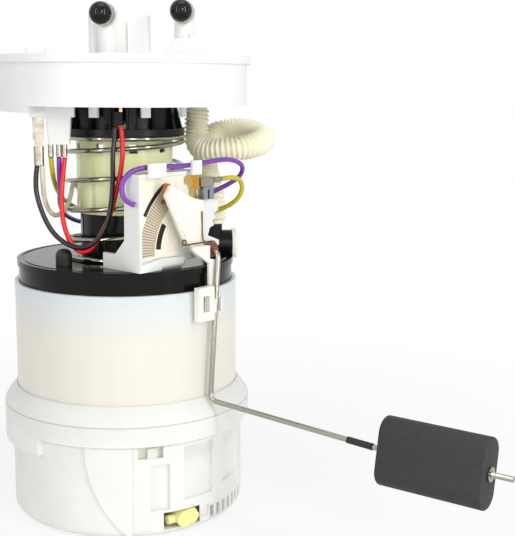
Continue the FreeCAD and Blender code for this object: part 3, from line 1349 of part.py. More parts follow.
hose_route = [
    (hose_side, hose_back, flange_bottom - 0.3), (39.6, 16, 206), (39.2, 13.5, 196), (44, 6, 191),
    (54, 0.5, 191.5),
    (66, 1, 192.5), (76, 12, 195.5), (78, 27, 200), (70, 41, 203.5), (58, 47, 203),
    (48.5, 42, 198), (45, 32, 189), (45.5, 20, 178), (regulator_out, regulator_back, 165.5),
    (regulator_out, regulator_back, 152.7)]
hose_path, hose_radii = rounded_path(hose_route)
hose = tube_along(hose_path, hose_radius)
print("hose radii", hose_radii, "volume", round(hose.Volume), "expected",
      round(math.pi * float(hose_radius) ** 2 * hose_path.Length))
solid_feature("return_hose", hose)

PIECES = [
    "lower_shell", "upper_bucket", "foot_valve", "jet_nozzle", "lid", "lid_grommet", "pump_canister",
    "pump_motor", "pump_head", "pump_blades", "pump_inlet", "pump_isolator", "pump_strainer", "delivery_tube",
    "regulator_body", "regulator_cap", "spring_seat", "seat_post", "guide_sleeve", "flange", "supply_cap",
    "return_cap", "supply_lock_ring", "return_lock_ring", "connector_pins", "flat_terminal", "lead_shroud",
    "lead_crimps", "lead_boot", "coil_spring", "sender_bracket", "sender_card", "resistor_track",
    "conductor_prints", "contact_strip", "terminal_block", "crimp_terminal", "wiper_lever", "hub_bush",
    "wiper_contact", "lever_spring", "float_rod", "rod_sleeve", "level_float", "push_washer", "black_lead",
    "red_lead", "yellow_lead", "purple_lead", "ground_lead", "return_hose",
]
doc.recompute()
failed = [item.Name for item in doc.Objects if "Invalid" in item.State or "Error" in item.State]
if failed:
    raise RuntimeError("failed objects: " + ", ".join(failed))
for piece in PIECES:
    shape = doc.getObject(piece).Shape
    if shape.isNull() or not shape.isValid() or not shape.Solids:
        raise RuntimeError("bad shape: " + piece)
os.makedirs("parts", exist_ok=True)
for piece in PIECES:
    item = doc.getObject(piece)
    item.Label = piece
    item.Shape.exportStep(f"parts/{piece}.step")
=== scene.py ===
# %% [markdown]
# # Dressing an in-tank fuel pump module
# The hard parts of this module come as a CAD frame: flange, pot, pump, sender and float arm, all in metres
# and in one shared frame with +Z up. This notebook gives them their materials, and builds the pieces that a
# CAD solid can only hint at: the insulated leads, the corrugated return hose and the polished coil spring.

# %% Load the frame
import math

import bpy
import numpy as np
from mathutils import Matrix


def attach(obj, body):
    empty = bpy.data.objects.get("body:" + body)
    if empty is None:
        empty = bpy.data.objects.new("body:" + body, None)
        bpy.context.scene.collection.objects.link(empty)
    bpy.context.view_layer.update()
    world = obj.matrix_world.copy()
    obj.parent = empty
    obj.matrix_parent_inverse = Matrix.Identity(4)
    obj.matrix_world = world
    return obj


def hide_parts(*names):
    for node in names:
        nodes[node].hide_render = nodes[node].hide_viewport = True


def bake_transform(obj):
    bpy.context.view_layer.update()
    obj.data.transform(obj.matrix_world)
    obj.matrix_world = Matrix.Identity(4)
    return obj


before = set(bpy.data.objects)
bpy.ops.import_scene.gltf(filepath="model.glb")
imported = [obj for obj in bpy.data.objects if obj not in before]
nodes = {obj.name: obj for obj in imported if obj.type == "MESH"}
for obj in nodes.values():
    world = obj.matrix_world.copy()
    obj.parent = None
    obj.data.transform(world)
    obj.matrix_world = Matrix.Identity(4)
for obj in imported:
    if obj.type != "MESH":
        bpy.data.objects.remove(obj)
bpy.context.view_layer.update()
MM = 0.001

# %% [markdown]
# ## Camera
# A product photograph is taken from a step back with a longish lens, so upright edges stay nearly upright.
# The camera stands 580 mm in front of the pot, a little below the flange, and looks slightly down and to the
# right.

# %% Camera
CAMERA_PLACE = (0.0, -0.580, 0.2294)
YAW, PITCH, ROLL = np.radians([7.07, 9.82, 0.34])
LENS_PIXELS = 1073
PHOTO_HEIGHT = 536

lens = bpy.data.cameras.new("photo_camera")
camera = bpy.data.objects.new("photo_camera", lens)
bpy.context.scene.collection.objects.link(camera)
bpy.context.scene.camera = camera
lens.sensor_fit = "VERTICAL"
lens.sensor_height = 36
lens.lens = LENS_PIXELS / PHOTO_HEIGHT * lens.sensor_height
camera.location = CAMERA_PLACE
camera.rotation_euler = (math.pi / 2 - PITCH, 0, -YAW)
camera.rotation_euler.rotate_axis("Z", ROLL)
print("lens in mm:", round(lens.lens, 2))

# %% [markdown]
# ## Colours and nodes
# A colour is written as the hex code that a picture program shows, and one function turns it into the linear
# light that Blender computes with. A second one adds a node and plugs in its inputs, so that each material
# below reads as a short list of what it is made of.

# %% Colour and node helpers


def linear(code):
    """Linear colour with alpha 1 of an sRGB hex code: the curve undone channel by channel."""
    part = np.array([int(code[i : i + 2], 16) for i in (1, 3, 5)]) / 255
    low = part / 12.92
    high = ((part + 0.055) / 1.055) ** 2.4
    return (*np.where(part <= 0.04045, low, high).tolist(), 1.0)


def add(tree, kind, inputs, **settings):
    """Add one node. A value of inputs is a number, a colour or another node's output socket."""
    made = tree.nodes.new(kind)
    for name, value in settings.items():
        setattr(made, name, value)
    for name, value in inputs.items():
        if isinstance(value, bpy.types.NodeSocket):
            tree.links.new(value, made.inputs[name])
        else:
            made.inputs[name].default_value = value
    return made


WHITE = linear("#FFFFFF")
print("mid grey #808080 in linear light:", round(linear("#808080")[0], 3))

# %% [markdown]
# ## White tent
# The module was lit in a white tent, with soft light from every side. The world stands for the tent. It
# lights with one strength, and is seen with another: the background behind the module, in its gloss and
# through its clear plastic is pure white.

# %% World
TENT_LIGHT = 0.47
TENT_SEEN = 1.0


def shown(tree):
    """1 for rays that show the background: straight from the camera, mirrored in gloss, or through glass."""
    rays = add(tree, "ShaderNodeLightPath", {})
    shine = add(tree, "ShaderNodeMath", {0: rays.outputs["Is Camera Ray"], 1: rays.outputs["Is Glossy Ray"]},
                operation="MAXIMUM")
    return add(tree, "ShaderNodeMath", {0: shine.outputs[0], 1: rays.outputs["Is Transmission Ray"]},
               operation="MAXIMUM").outputs[0]


world = bpy.data.worlds.new("white_tent")
bpy.context.scene.world = world
world.use_nodes = True
tree = world.node_tree
tree.nodes.clear()
light_tent = add(tree, "ShaderNodeBackground", {"Color": WHITE, "Strength": TENT_LIGHT})
seen_tent = add(tree, "ShaderNodeBackground", {"Color": WHITE, "Strength": TENT_SEEN})
choice = add(tree, "ShaderNodeMixShader", {0: shown(tree), 1: light_tent.outputs[0], 2: seen_tent.outputs[0]})
add(tree, "ShaderNodeOutputWorld", {"Surface": choice.outputs[0]})
bpy.context.scene.view_settings.view_transform = "Standard"
print("tent lights with", TENT_LIGHT, "and is seen with", TENT_SEEN)

# %% [markdown]
# ## Lamps
# Soft light alone leaves black plastic flat. Tall panels at the left and the right show in it as pale
# streaks, a wide one in front opens the shadows under the flange, and a small bright one gives the hard
# glints on the caps.

# %% Lamps


def panel(name, place, target, width, height, watts):
    """A rectangular lamp at place that faces target."""
    lamp = bpy.data.lights.new(name, "AREA")
    lamp.shape = "RECTANGLE"
    lamp.size, lamp.size_y = width, height
    lamp.energy = watts
    holder = bpy.data.objects.new(name, lamp)
    bpy.context.scene.collection.objects.link(holder)
    holder.location = place
    toward = np.array(target) - np.array(place)
    flat = math.hypot(toward[0], toward[1])
    holder.rotation_euler = (math.atan2(flat, -toward[2]), 0, math.atan2(-toward[0], toward[1]))


TOWARD_POT = (0, 0, 0.14)
LAMPS = (
    ("panel_left", (-0.75, -0.70, 0.50), TOWARD_POT, 0.05, 1.1, 2.6),
    ("panel_right", (0.62, -0.66, 0.40), TOWARD_POT, 0.08, 0.8, 3.0),
    ("panel_front", (0.15, -1.30, 0.05), (0, 0, 0.17), 1.4, 0.6, 3.8),
    ("panel_flash", (0.30, -1.05, 0.52), (0, 0, 0.20), 0.22, 0.22, 2.4),
    ("panel_top", (0.05, -0.10, 1.05), TOWARD_POT, 0.7, 0.5, 1.8),
)
for lamp_values in LAMPS:
    panel(*lamp_values)
print("lamps:", len(LAMPS), "watts in all:", round(sum(values[-1] for values in LAMPS), 1))

# %% [markdown]
# ## Paper
# The module stands on white paper. Near its foot the paper is a matt surface that takes a soft shadow, and
# farther out it glows as white as the background, so that no edge or horizon shows.

# %% Paper
PAPER_HALF = 4.0
PAPER_LEVEL = -0.0004
SHADOW_NEAR, SHADOW_FAR = 0.12, 0.42
GLOW_NEAR, GLOW_FAR = 0.80, 1.0

paper = bpy.data.meshes.new("paper")
paper_corners = [(-PAPER_HALF, -PAPER_HALF), (PAPER_HALF, -PAPER_HALF), (PAPER_HALF, PAPER_HALF),
                 (-PAPER_HALF, PAPER_HALF)]
paper.from_pydata([(x, y, PAPER_LEVEL) for x, y in paper_corners], [], [(0, 1, 2, 3)])
paper_floor = bpy.data.objects.new("paper_floor", paper)
bpy.context.scene.collection.objects.link(paper_floor)
paper_white = bpy.data.materials.new("white_paper")
paper_white.use_nodes = True
tree = paper_white.node_tree
tree.nodes.clear()
diffuse = add(tree, "ShaderNodeBsdfDiffuse", {"Color": linear("#F2F2F2")})
glow = add(tree, "ShaderNodeEmission", {"Color": WHITE, "Strength": 1.0})
spot = add(tree, "ShaderNodeTexCoord", {})
away = add(tree, "ShaderNodeVectorMath", {0: spot.outputs["Object"]}, operation="LENGTH")
fade = add(tree, "ShaderNodeMapRange", {"Value": away.outputs["Value"], "From Min": SHADOW_NEAR,
                                        "From Max": SHADOW_FAR, "To Min": GLOW_NEAR, "To Max": GLOW_FAR})
share = add(tree, "ShaderNodeMath", {0: shown(tree), 1: fade.outputs[0]}, operation="MULTIPLY")
both = add(tree, "ShaderNodeMixShader", {0: share.outputs[0], 1: diffuse.outputs[0], 2: glow.outputs[0]})
add(tree, "ShaderNodeOutputMaterial", {"Surface": both.outputs[0]})
paper.materials.append(paper_white)
print("paper shadow fades out between", SHADOW_NEAR, "and", SHADOW_FAR, "m")

# %% [markdown]
# ## Plastics
# Nearly everything here is injection-moulded acetal or nylon. A moulded skin is even in colour but not dead:
# it has a fine grain, a faint cloudiness and slightly varying gloss. One function makes such a skin, and each
# plastic calls it with its own colours and grain.

# %% Moulded plastics


def start(name, shader_values):
    """A new material, its tree, its shader and the object coordinates."""
    material = bpy.data.materials.new(name)
    material.use_nodes = True
    tree = material.node_tree
    shader = tree.nodes["Principled BSDF"]
    shader.inputs["Subsurface Radius"].default_value = (1.0, 1.0, 1.0)
    for socket, value in shader_values.items():
        shader.inputs[socket].default_value = value
    place = add(tree, "ShaderNodeTexCoord", {})
    return material, tree, shader, place.outputs["Object"]


def cloud(tree, place, size_mm, detail=3.0):
    """Soft noise whose features are about size_mm across."""
    noise = add(tree, "ShaderNodeTexNoise", {"Vector": place, "Scale": 1 / (size_mm * MM), "Detail": detail,
                                             "Roughness": 0.55})
    return noise.outputs["Fac"]


def between(tree, amount, first, second):
    """Mix two colours by a socket."""
    mix = add(tree, "ShaderNodeMix", {0: amount, 6: first, 7: second}, data_type="RGBA")
    return mix.outputs[2]


def moulded(name, light, dark, rough=(0.32, 0.42), grain_mm=0.5, grain=0.06, cloud_mm=18.0, **shader_values):
    """Moulded skin: colour drifts between two tones, gloss drifts too, and a fine grain breaks the shine."""
    material, tree, shader, place = start(name, {"IOR": 1.48, **shader_values})
    drift = cloud(tree, place, cloud_mm)
    tree.links.new(between(tree, drift, linear(light), linear(dark)), shader.inputs["Base Color"])
    gloss = add(tree, "ShaderNodeMapRange", {"Value": drift, "From Min": 0.3, "From Max": 0.7,
                                             "To Min": rough[0], "To Max": rough[1]})
    tree.links.new(gloss.outputs[0], shader.inputs["Roughness"])
    bump = add(tree, "ShaderNodeBump", {"Height": cloud(tree, place, grain_mm), "Strength": grain,
                                        "Distance": 0.0001})
    tree.links.new(bump.outputs[0], shader.inputs["Normal"])
    return material


acetal_white = moulded("white_acetal_flange", "#F1F2F0", "#E4E6E4", rough=(0.30, 0.42),
                       **{"Subsurface Weight": 0.25, "Subsurface Scale": 0.004})
acetal_shell = moulded("white_acetal_shell", "#EDEEEA", "#DFE1DB", rough=(0.34, 0.46),
                       **{"Subsurface Weight": 0.3, "Subsurface Scale": 0.005})
cream_acetal = moulded("cream_acetal", "#F5F3EA", "#EBE7DB", rough=(0.34, 0.48), cloud_mm=9.0,
                       **{"Subsurface Weight": 0.25, "Subsurface Scale": 0.003})
white_bracket = moulded("white_bracket", "#EFF0ED", "#DDDFDA", rough=(0.36, 0.48), cloud_mm=12.0,
                        **{"Subsurface Weight": 0.2, "Subsurface Scale": 0.003})
gloss_black = moulded("black_acetal_lid", "#14120F", "#0A0908", rough=(0.10, 0.16), grain_mm=0.35, grain=0.03,
                      **{"Specular IOR Level": 0.2})
satin_black = moulded("black_nylon", "#121212", "#0A0A0A", rough=(0.26, 0.36), grain_mm=0.4, grain=0.05,
                      **{"Specular IOR Level": 0.2})
canister_black = moulded("black_acetal_canister", "#161616", "#0C0C0C", rough=(0.16, 0.24), grain_mm=0.5,
                         grain=0.03, **{"Specular IOR Level": 0.2})
cap_black = moulded("black_vinyl_cap", "#0C0C0C", "#050505", rough=(0.05, 0.09), grain_mm=0.8, grain=0.01,
                    **{"Specular IOR Level": 0.3})
nozzle_yellow = moulded("yellow_nylon", "#F6F0AE", "#EBE391", rough=(0.34, 0.46), cloud_mm=5.0,
                        **{"Subsurface Weight": 0.3, "Subsurface Scale": 0.003})
bush_brown = moulded("brown_phenolic", "#8E4A34", "#6E3323", rough=(0.36, 0.5), cloud_mm=2.0)
black_rubber = moulded("black_rubber", "#1A1A1A", "#101010", rough=(0.5, 0.62), grain_mm=0.3, grain=0.12)
print("moulded finishes from", acetal_white.name, "to", black_rubber.name)

# %% [markdown]
# ## See-through plastics
# The pot and the guide sleeve are natural, unpigmented plastic. Light goes in and wanders before it comes
# out, so their edges look bluish and their middle creamy. A little transmission over a strong subsurface glow
# gives that, and on the pot the bluish tone at the rim is painted light as well.

# %% Clear plastics


def clear_moulded(name, light, dark, rough, transmission, glow_mm, cloud_mm):
    """Unpigmented plastic: a body colour that drifts, part of the light passing through."""
    material, tree, shader, place = start(name, {"IOR": 1.48, "Roughness": rough,
                                                 "Transmission Weight": transmission,
                                                 "Subsurface Weight": 0.5, "Subsurface Scale": glow_mm * MM})
    drift = cloud(tree, place, cloud_mm)
    tree.links.new(between(tree, drift, linear(light), linear(dark)), shader.inputs["Base Color"])
    bump = add(tree, "ShaderNodeBump", {"Height": cloud(tree, place, 0.8), "Strength": 0.04,
                                        "Distance": 0.0001})
    tree.links.new(bump.outputs[0], shader.inputs["Normal"])
    return material


RIBS_IN_POT = 42.0
RIB_LINE = 0.97
RIBS_END = 0.098
# Heights between which the pot's wall turns to a painted bluish light.
PAINTED_BLUE_FROM, PAINTED_BLUE_TO = 0.100, 0.124


def pot_plastic():
    """Natural polyethylene: creamy below, a painted bluish light at the rim, a pale line where each inner rib
    touches.
    """
    material, tree, shader, place = start("natural_polyethylene", {"IOR": 1.5, "Roughness": 0.3,
                                                                   "Transmission Weight": 0.08,
                                                                   "Subsurface Weight": 0.5,
                                                                   "Subsurface Scale": 0.006})
    parts = add(tree, "ShaderNodeSeparateXYZ", {"Vector": place})
    # The bluish tone at the rim is painted light: a colour by height that stands in for light passing through
    # the thin upper wall.
    painted_rim_light = add(tree, "ShaderNodeMapRange", {"Value": parts.outputs["Z"], "From Min": PAINTED_BLUE_FROM,
                                            "From Max": PAINTED_BLUE_TO, "To Min": 0.0, "To Max": 1.0})
    squeezed = add(tree, "ShaderNodeMapping", {"Vector": place, "Scale": (1.0, 1.0, 0.04)})
    streaks = cloud(tree, squeezed.outputs[0], 7.0, 2.0)
    body = between(tree, streaks, linear("#F8F3E6"), linear("#F2EBDA"))
    turn = add(tree, "ShaderNodeMath", {0: parts.outputs["Y"], 1: parts.outputs["X"]}, operation="ARCTAN2")
    ribs = add(tree, "ShaderNodeMath", {0: turn.outputs[0], 1: RIBS_IN_POT}, operation="MULTIPLY")
    wave = add(tree, "ShaderNodeMath", {0: ribs.outputs[0]}, operation="COSINE")
    line = add(tree, "ShaderNodeMapRange", {"Value": wave.outputs[0], "From Min": RIB_LINE, "From Max": 1.0,
                                            "To Max": 0.6})
    under = add(tree, "ShaderNodeMapRange", {"Value": parts.outputs["Z"], "From Min": RIBS_END + 0.0005,
                                             "From Max": RIBS_END - 0.0005})
    shine = add(tree, "ShaderNodeMath", {0: line.outputs[0], 1: under.outputs[0]}, operation="MULTIPLY")
    lined = between(tree, shine.outputs[0], body, linear("#F8F4E8"))
    with_painted_rim_light = between(tree, painted_rim_light.outputs[0], lined, linear("#DEE8EC"))
    tree.links.new(with_painted_rim_light, shader.inputs["Base Color"])
    bump = add(tree, "ShaderNodeBump", {"Height": streaks, "Strength": 0.08, "Distance": 0.0003})
    tree.links.new(bump.outputs[0], shader.inputs["Normal"])
    return material


pot_natural = pot_plastic()
sleeve_green = clear_moulded("green_tinted_acetal", "#F4FBC8", "#ECF5B6", 0.24, 0.0, 0.6, 14.0)
lock_ring_clear = clear_moulded("clear_polyamide_ring", "#F3F2E4", "#EAE8D4", 0.15, 0.35, 2.0, 4.0)
hose_nylon = clear_moulded("natural_nylon_hose", "#FFF9E2", "#FAF1D0", 0.2, 0.10, 2.0, 6.0)
print("clear finishes:", pot_natural.name, sleeve_green.name, lock_ring_clear.name, hose_nylon.name)

# %% [markdown]
# ## Metals
# The spring is drawn and plated wire, the rod is polished stainless steel, the terminals are stamped brass
# and tin. Drawn wire keeps fine scratches along its length; a stretched noise in the roughness stands for
# them.

# %% Metals


def metal(name, light, dark, rough, scratch_mm=0.4, stretch=(1.0, 1.0, 1.0)):
    """Bare metal: two close tones, and fine scratches that vary the polish."""
    material, tree, shader, place = start(name, {"Metallic": 1.0})
    moved = add(tree, "ShaderNodeMapping", {"Vector": place, "Scale": stretch})
    scratches = cloud(tree, moved.outputs[0], scratch_mm, 4.0)
    tree.links.new(between(tree, scratches, linear(light), linear(dark)), shader.inputs["Base Color"])
    polish = add(tree, "ShaderNodeMapRange", {"Value": scratches, "From Min": 0.3, "From Max": 0.7,
                                              "To Min": rough[0], "To Max": rough[1]})
    tree.links.new(polish.outputs[0], shader.inputs["Roughness"])
    bump = add(tree, "ShaderNodeBump", {"Height": scratches, "Strength": 0.05, "Distance": 0.00005})
    tree.links.new(bump.outputs[0], shader.inputs["Normal"])
    return material


spring_wire = metal("plated_spring_wire", "#BFB9AD", "#6E685D", (0.08, 0.18))
rod_steel = metal("polished_stainless_rod", "#B9B5AB", "#8E897E", (0.14, 0.26), stretch=(1, 1, 0.05))
can_steel = metal("zinc_plated_can", "#C4C6C6", "#A2A5A6", (0.25, 0.38), scratch_mm=1.0)
terminal_tin = metal("tinned_terminal", "#BDB6A8", "#7A7367", (0.14, 0.28), scratch_mm=3.5)
block_steel = metal("blued_steel_block", "#A9B3BC", "#77828C", (0.16, 0.28))
spring_bronze = metal("bronze_spring_wire", "#8A6A4C", "#5C4230", (0.2, 0.34))
terminal_brass = metal("stamped_brass", "#DCC48A", "#B2924E", (0.18, 0.32), scratch_mm=0.8)
contact_copper = metal("copper_contact", "#D08A5C", "#9C5631", (0.2, 0.34), scratch_mm=0.8)
print("wire and rod finishes:", spring_wire.name, rod_steel.name, spring_bronze.name)

# %% [markdown]
# ## Shoulder of the pot
# The pot meets the lower shell's collar in a sloping, milky shoulder, so no dust can lie in the gap. It is a
# surface of revolution: a short slanted wall, turned once round the pot's axis.

# %% Shoulder


def ring_quads(rows, around, closed=False):
    """Faces of rings of points, counted ring by ring: (i, j), (i, j+1), (i+1, j+1), (i+1, j).

    The count wraps round each ring, and from the last ring to the first where the grid is closed.
    """
    i, j = np.meshgrid(np.arange(rows if closed else rows - 1), np.arange(around), indexing="ij")
    below, beside = (i + 1) % rows, (j + 1) % around
    corners = (i * around + j, i * around + beside, below * around + beside, below * around + j)
    return np.stack(corners, axis=-1).reshape(-1, 4).tolist()


def new_piece(name, grid, faces, finish):
    """An object at the origin whose mesh has the grid's points, these faces and one finish."""
    mesh = bpy.data.meshes.new(name)
    mesh.from_pydata(grid.reshape(-1, 3).tolist(), [], faces)
    mesh.materials.append(finish)
    piece = bpy.data.objects.new(name, mesh)
    bpy.context.scene.collection.objects.link(piece)
    return piece


def shade_smooth(piece, sharp_above):
    """Smooth shading, but a crease where two faces meet at more than sharp_above degrees."""
    mesh = piece.data
    mesh.polygons.foreach_set("use_smooth", [True] * len(mesh.polygons))
    mesh.set_sharp_from_angle(angle=math.radians(sharp_above))


def turned_ring(name, outline, finish, around=192):
    """Closed ring: every (radius, level) of the outline, in mm, turned round the pot's axis."""
    angle = np.linspace(0, 2 * np.pi, around, endpoint=False)
    outline = np.array(outline) * MM
    grid = np.stack([outline[:, :1] * np.cos(angle), outline[:, :1] * np.sin(angle),
                     np.broadcast_to(outline[:, 1:], (len(outline), around))], axis=-1)
    piece = new_piece(name, grid, ring_quads(len(outline), around, closed=True), finish)
    shade_smooth(piece, 30)
    return piece


SHOULDER = [(66.1, 59.8), (66.3, 60.6), (64.6, 63.6), (62.0, 67.0), (59.9, 69.2), (59.6, 68.6), (61.2, 66.4),
            (63.6, 63.0), (64.9, 60.2)]
shoulder = turned_ring("pot_shoulder", SHOULDER, acetal_shell)
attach(shoulder, "reservoir")
print("shoulder faces:", len(shoulder.data.polygons))

# %% [markdown]
# ## Finishes of the sender card
# The card is a cream ceramic plate with printed films: a tan resistor track that is cut into fine bars by a
# laser, and black conductor films. The bars are a wave that runs round the pivot.

# %% Card finishes
CUTS_SCALE = 0.24


def resistor_film():
    """Tan resistor film. Its map runs round the pivot in millimetres, so the laser's cuts fan out on it."""
    material, tree, shader, _ = start("tan_resistor_film", {"Roughness": 0.55, "IOR": 1.5})
    around = add(tree, "ShaderNodeUVMap", {}, uv_map="round_the_pivot")
    bars = add(tree, "ShaderNodeTexWave", {"Vector": around.outputs[0], "Scale": CUTS_SCALE,
                                           "Distortion": 1.6, "Detail": 2.0, "Detail Scale": 0.6},
               bands_direction="X")
    tree.links.new(between(tree, bars.outputs["Fac"], linear("#DAD0BA"), linear("#968468")),
                   shader.inputs["Base Color"])
    return material


card_cream = moulded("cream_ceramic_card", "#F5F2E4", "#ECE7D4", rough=(0.4, 0.5), cloud_mm=6.0)
track_tan = resistor_film()
film_black = moulded("black_conductor_film", "#151515", "#0A0A0A", rough=(0.35, 0.45), cloud_mm=3.0)
print("card finishes:", card_cream.name, track_tan.name, film_black.name)

# %% [markdown]
# ## Foam and strainer cloth
# The float is closed-cell foam: dark, without shine, and full of tiny pits where the cut goes through a cell.
# A Voronoi texture gives one pit for each cell, as a bump and as painted shade inside it. The strainer is
# woven cloth, which two crossed waves stand for, with painted shade where a thread dips under another.

# %% Foam and cloth
PIT_MM = 0.7
WEAVE_SCALE = 400.0


def float_foam():
    """Closed-cell nitrile foam: dark grey, with fine pits darkened by painted shade, and no shine."""
    material, tree, shader, place = start("nitrile_foam", {"IOR": 1.45, "Roughness": 0.75})
    pits = add(tree, "ShaderNodeTexVoronoi", {"Vector": place, "Scale": 1 / (PIT_MM * MM)})
    dark = between(tree, cloud(tree, place, 3.0), linear("#3A3A3B"), linear("#2B2B2C"))
    # Painted shade: the bottom of each pit is darker, as if in shadow.
    pit_shade = add(tree, "ShaderNodeMapRange", {"Value": pits.outputs["Distance"], "From Min": 0.1,
                                               "From Max": 0.3, "To Min": 1.0, "To Max": 0.0})
    tree.links.new(between(tree, pit_shade.outputs[0], dark, linear("#1C1C1D")), shader.inputs["Base Color"])
    bump = add(tree, "ShaderNodeBump", {"Height": pits.outputs["Distance"], "Strength": 0.25,
                                        "Distance": 0.0002})
    tree.links.new(bump.outputs[0], shader.inputs["Normal"])
    return material


def woven_sock():
    """Strainer cloth: the product of two crossed waves, painted light where both threads lie on top and
    painted shade where they dip.
    """
    material, tree, shader, place = start("woven_strainer", {"Roughness": 0.7})
    warp = add(tree, "ShaderNodeTexWave", {"Vector": place, "Scale": WEAVE_SCALE}, bands_direction="X")
    weft = add(tree, "ShaderNodeTexWave", {"Vector": place, "Scale": WEAVE_SCALE}, bands_direction="Y")
    # Painted shade: the cloth is darker where a thread lies under the other, lighter where both lie on top.
    weave_shade = add(tree, "ShaderNodeMath", {0: warp.outputs["Fac"], 1: weft.outputs["Fac"]},
                operation="MULTIPLY")
    tree.links.new(between(tree, weave_shade.outputs[0], linear("#CFCDBF"), linear("#8D8B80")),
                   shader.inputs["Base Color"])
    return material


foam = float_foam()
strainer_cloth = woven_sock()
print("pits are about", PIT_MM, "mm across")

# %% [markdown]
# ## Give every CAD node its finish
# A CAD node comes with one plain material. Each finish takes the list of the nodes that wear it. At the end
# the cell prints the nodes that it left without one: the spring, the leads and the hose, which are built anew
# below.

# %% Finishes of the CAD nodes
finishes = {
    acetal_white: ["flange"],
    acetal_shell: ["lower_shell"],
    pot_natural: ["upper_bucket"],
    gloss_black: ["lid"],
    black_rubber: ["lid_grommet", "foot_valve", "pump_isolator", "rod_sleeve"],
    canister_black: ["pump_canister"],
    satin_black: ["spring_seat", "regulator_body", "pump_head", "pump_inlet", "lead_boot"],
    cap_black: ["supply_cap", "return_cap"],
    lock_ring_clear: ["supply_lock_ring", "return_lock_ring"],
    sleeve_green: ["guide_sleeve"],
    nozzle_yellow: ["jet_nozzle"],
    cream_acetal: ["wiper_lever", "regulator_cap", "delivery_tube"],
    white_bracket: ["sender_bracket", "lead_shroud"],
    terminal_tin: ["flat_terminal", "lead_crimps", "crimp_terminal"],
    block_steel: ["terminal_block"],
    spring_bronze: ["lever_spring"],
    terminal_brass: ["contact_strip", "connector_pins", "seat_post", "pump_blades"],
    contact_copper: ["wiper_contact"],
    rod_steel: ["float_rod", "push_washer"],
    can_steel: ["pump_motor"],
    card_cream: ["sender_card"],
    track_tan: ["resistor_track"],
    film_black: ["conductor_prints"],
    bush_brown: ["hub_bush"],
    foam: ["level_float"],
    strainer_cloth: ["pump_strainer"],
}
for finish, wearers in finishes.items():
    for wearer in wearers:
        for material_slot in nodes[wearer].material_slots:
            material_slot.material = finish
dressed = {wearer for wearers in finishes.values() for wearer in wearers}
print("CAD nodes without a finish yet:", sorted(set(nodes) - dressed))

# %% [markdown]
# ## Tubes along a line
# Leads, hose and spring are all round sections carried along a line. A smooth line comes from a NURBS curve
# through given control points. The section must not twist, so each ring's axes are the last ring's axes
# turned by the smallest turn that fits the new direction.

# %% Tube helpers


def smooth_line(name, points):
    """Points of an order-3 NURBS line whose control points are given, read back from Blender."""
    curve = bpy.data.curves.new(name, "CURVE")
    curve.dimensions = "3D"
    spline = curve.splines.new("NURBS")
    spline.points.add(len(points) - 1)
    spline.points.foreach_set("co", np.column_stack([points, np.ones(len(points))]).ravel())
    spline.order_u = 3
    spline.use_endpoint_u = True
    spline.resolution_u = 24
    holder = bpy.data.objects.new(name, curve)
    bpy.context.scene.collection.objects.link(holder)
    line = bpy.data.meshes.new_from_object(holder)
    places = np.empty(len(line.vertices) * 3)
    line.vertices.foreach_get("co", places)
    bpy.data.objects.remove(holder)
    bpy.data.curves.remove(curve)
    bpy.data.meshes.remove(line)
    return places.reshape(-1, 3)


def even_steps(line, step):
    """The same line with points a fixed step apart, and each point's distance along it."""
    along = np.concatenate([[0], np.cumsum(np.linalg.norm(np.diff(line, axis=0), axis=1))])
    wanted = np.linspace(0, along[-1], max(int(along[-1] / step), 8))
    return np.column_stack([np.interp(wanted, along, line[:, axis]) for axis in range(3)]), wanted


def ring_axes(line):
    """Two unit axes across the line at every point, turned no more than the line itself turns."""
    ahead = np.gradient(line, axis=0)
    ahead /= np.linalg.norm(ahead, axis=1)[:, None]
    side = np.cross(ahead[0], (0.31, 0.17, 0.93))
    sides = np.empty_like(line)
    for index, direction in enumerate(ahead):
        side = side - direction * np.dot(side, direction)
        side = side / np.linalg.norm(side)
        sides[index] = side
    return sides, np.cross(ahead, sides)


def end_faces(rows, around):
    """The two flat ends of a row of rings: the first ring backwards, and the last one."""
    return [list(range(around))[::-1], list(range((rows - 1) * around, rows * around))]


def tube(name, line, radius, finish, around=20):
    """Closed tube: point(i, angle) = line(i) + radius(i) * (cos angle * side + sin angle * up), flat ends."""
    sides, ups = ring_axes(line)
    angle = np.linspace(0, 2 * np.pi, around, endpoint=False)
    reach = np.broadcast_to(radius, len(line))[:, None, None]
    rings = sides[:, None] * np.cos(angle)[:, None] + ups[:, None] * np.sin(angle)[:, None]
    wall = ring_quads(len(line), around)
    piece = new_piece(name, line[:, None] + reach * rings, wall + end_faces(len(line), around), finish)
    piece.data.polygons.foreach_set("use_smooth", [True] * len(wall) + [False, False])
    return piece


test_angle = np.linspace(0, np.pi / 2, 50)
test_line = np.column_stack([np.cos(test_angle), np.sin(test_angle), np.zeros(50)])
print("a quarter circle of radius 1 measures", round(float(even_steps(test_line, 0.01)[1][-1]), 4))

# %% [markdown]
# ## Sender bracket and card
# On the real sender the card fills the bracket nearly to its left edge, and only a thin rail holds it there.
# The rail and the card are copies of the CAD meshes in which one upright edge is moved.

# %% Bracket and card
SENDER_TURN = math.radians(42.0)
ON_EDGE = 0.03


def from_sender(side, out, level):
    """World place in metres of millimetres to the right on the sender, out from the pot's axis, and up."""
    right = np.multiply(side, math.cos(SENDER_TURN)) + np.multiply(out, math.sin(SENDER_TURN))
    back = np.multiply(side, math.sin(SENDER_TURN)) - np.multiply(out, math.cos(SENDER_TURN))
    return MM * np.stack(np.broadcast_arrays(right, back, level), axis=-1)


